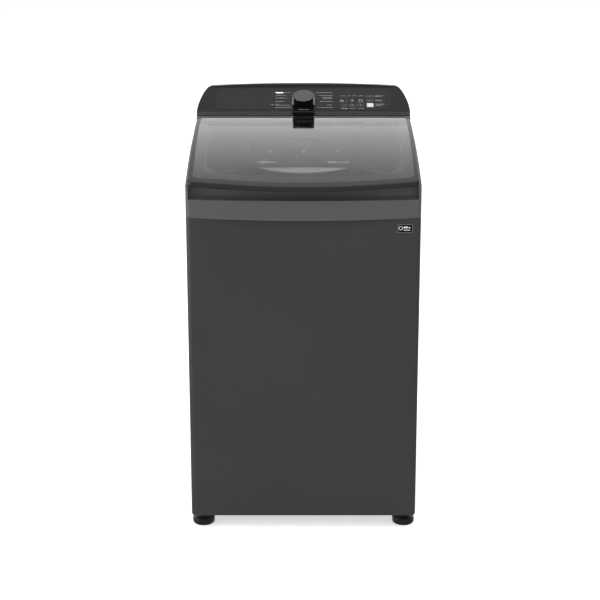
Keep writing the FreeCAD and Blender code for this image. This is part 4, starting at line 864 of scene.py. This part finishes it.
for k in range(1, 9):
    r = (ring_r - 2.2 * mm) * (1 - k / 8.5)
    dish.append((r, ring_high - 0.7 * mm - 1.9 * mm * (1 - (r / ring_r) ** 2)))
disc = cap_ends(turn(dish, vertices=96))
disc.data.transform(Matrix.Translation(dial_foot) @ face_turn)
modify(disc, "SOLIDIFY", thickness=0.5 * mm, offset=-1.0)
done(disc, "dial_disc", spun, "cycle_knob", "knob_metal", "knob_face_disc", smooth=40)
hub_bar = [bar(-14.5 * mm, 14.5 * mm, -35.0 * mm, 2.0 * mm, 2.8 * mm)]
thickened(hub_bar, "hub_bar", print_soft, "cabinet", "overlay_film", thick=0.05 * mm)

# ---------------------------------------------------------------- badge
# A small black plate with a raised satin silver rim is bonded to the cabinet's upper right corner. It carries a ring
# and two rows of short bars.
silver = finish("silver_rim", (0.42, 0.42, 0.43), 0.35, metallic=0.9, cloud=0.03, cloud_size=0.01)
repaint(gloss_black, "capacity_badge")
low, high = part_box("capacity_badge")
centre_x, centre_z = (low.x + high.x) / 2, (low.z + high.z) / 2
plate = begin("plane", size=1, location=(centre_x, low.y + 0.02 * mm, centre_z), rotation=(math.pi / 2, 0, 0),
              scale=(high.x - low.x - 0.2 * mm, high.z - low.z - 0.2 * mm, 1))
bpy.ops.object.mode_set(mode="EDIT")
bpy.ops.mesh.select_all(action="SELECT")
bpy.ops.mesh.bevel(offset=2.4 * mm, segments=5, affect="VERTICES")
bpy.ops.mesh.select_all(action="SELECT")
bpy.ops.mesh.inset(thickness=2.0 * mm)
bpy.ops.mesh.delete(type="FACE")
bpy.ops.object.mode_set(mode="OBJECT")
modify(plate, "SOLIDIFY", thickness=0.2 * mm, offset=0.0)
done(plate, "badge_rim", silver, "cabinet", "badge", smooth=30)
marks = []
for dx, dz, wide, tall in ((-1.5, 3.0, 5.0, 4.5), (4.5, 3.0, 5.0, 4.5), (10.8, 2.0, 4.0, 2.6), (-1.5, -4.2, 4.4, 2.0),
                           (3.8, -4.2, 4.4, 2.0), (9.6, -4.2, 5.2, 2.0)):
    marks.append(printed_plane(centre_x + (dx - wide / 2) * mm, centre_x + (dx + wide / 2) * mm,
                               centre_z + (dz - tall / 2) * mm, centre_z + (dz + tall / 2) * mm, low.y))
ring = begin("circle", vertices=28, radius=5.2 * mm, fill_type="NGON",
             location=(centre_x - 11.5 * mm, low.y, centre_z + 1.0 * mm),
             rotation=(math.pi / 2, 0, 0))
bpy.ops.object.mode_set(mode="EDIT")
bpy.ops.mesh.select_all(action="SELECT")
bpy.ops.mesh.inset(thickness=1.3 * mm)
bpy.ops.mesh.delete(type="FACE")
bpy.ops.object.mode_set(mode="OBJECT")
thickened(marks + [ring], "badge_marks", print_grey, "cabinet", "badge", thick=0.06 * mm)

# ---------------------------------------------------------------- water inlets, drain port and cord gland
# Two white nylon valves stand through the cover's rear with 3/4 inch pipe threads. The drain port is a barbed black
# spigot on a flange, and the cord gland a ribbed sleeve with a hexagon.
nylon = finish("white_nylon", (0.62, 0.62, 0.60), 0.45, cloud=0.05, cloud_size=0.02, peel=0.00004, peel_size=0.0012)
low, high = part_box("water_inlet_valves")
pipe_r, valve_r, wall_y = 13.2 * mm, 16.0 * mm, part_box("rear_panel")[0].y
shell_y, pitch = low.y, 1.8 * mm
profile = [(valve_r - 0.5 * mm, shell_y), (valve_r, shell_y + 0.5 * mm), (valve_r, wall_y - 0.5 * mm),
           (valve_r - 0.5 * mm, wall_y), (pipe_r - 0.8 * mm, wall_y)]
for k in range(13):
    profile += [(pipe_r - 0.8 * mm, wall_y + pitch * (k + 0.4)), (pipe_r, wall_y + pitch * (k + 0.9))]
profile += [(pipe_r - 0.8 * mm, high.y - 0.4 * mm), (pipe_r - 1.4 * mm, high.y), (9.4 * mm, high.y),
            (9.0 * mm, high.y - 0.4 * mm), (9.0 * mm, wall_y + 4 * mm)]
valve_z = low.z + valve_r
for i, x in enumerate((low.x + valve_r, high.x - valve_r)):
    valve = lay(cap_ends(turn(profile, vertices=48)), (0, 1, 0), (x, 0, valve_z))
    spigot = begin("cylinder", vertices=24, radius=6 * mm, depth=high.z - valve_z,
                   location=(x, shell_y + 8 * mm, (high.z + valve_z) / 2))
    pick(spigot, lambda at, way: way.z > 0.9)
    bpy.ops.mesh.bevel(offset=0.8 * mm, segments=2, affect="EDGES")
    bpy.ops.object.mode_set(mode="OBJECT")
    stands_for = ["water_inlet_valves"] if i == 0 else []
    done(joined([valve, spigot]), f"inlet_valve_{i + 1}", nylon, "cabinet", "valve_plastic", *stands_for, smooth=30)

low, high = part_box("drain_port")
face_y, flange_r = wall_y + 1 * mm, (high.x - low.x) / 2
port_at = ((low.x + high.x) / 2, 0, (low.z + high.z) / 2)
profile = [(11.6 * mm, low.y), (15 * mm, low.y), (15 * mm, face_y), (flange_r - 0.8 * mm, face_y),
           (flange_r, face_y + 0.6 * mm), (flange_r, face_y + 2.4 * mm), (flange_r - 0.8 * mm, face_y + 3 * mm),
           (14.4 * mm, face_y + 3 * mm)]
for k in range(4):
    profile += [(15.0 * mm, face_y + (6.5 + 4.6 * k) * mm), (14.2 * mm, face_y + (6.9 + 4.6 * k) * mm)]
profile += [(14.2 * mm, high.y - 0.5 * mm), (13.7 * mm, high.y), (11.5 * mm, high.y), (11.5 * mm, low.y + 1 * mm)]
port = lay(turn(profile, vertices=48, closed=True), (0, 1, 0), port_at)
done(port, "barbed_drain_port", black_plastic, "cabinet", "black_matte", "drain_port", smooth=30)

low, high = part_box("cord_gland")
gland_at = ((low.x + high.x) / 2, 0, (low.z + high.z) / 2)
flange_y = high.y - 15 * mm
profile = [(4 * mm, low.y), (8 * mm, low.y), (8 * mm, flange_y), (11.4 * mm, flange_y), (12 * mm, flange_y + 0.6 * mm),
           (12 * mm, flange_y + 2.4 * mm), (11.4 * mm, flange_y + 3 * mm), (8 * mm, flange_y + 3 * mm)]
for k in range(3):
    profile += [(7.9 * mm, flange_y + (5.0 + 3.2 * k) * mm), (6.8 * mm, flange_y + (5.4 + 3.2 * k) * mm),
                (6.8 * mm, flange_y + (6.6 + 3.2 * k) * mm), (7.8 * mm, flange_y + (7.0 + 3.2 * k) * mm)]
profile += [(7.0 * mm, high.y), (4.6 * mm, high.y), (4.0 * mm, high.y - 0.6 * mm)]
gland = lay(turn(profile, vertices=36, closed=True), (0, 1, 0), gland_at)
done(gland, "ribbed_cord_gland", black_plastic, "cabinet", "black_matte", "cord_gland", smooth=30)
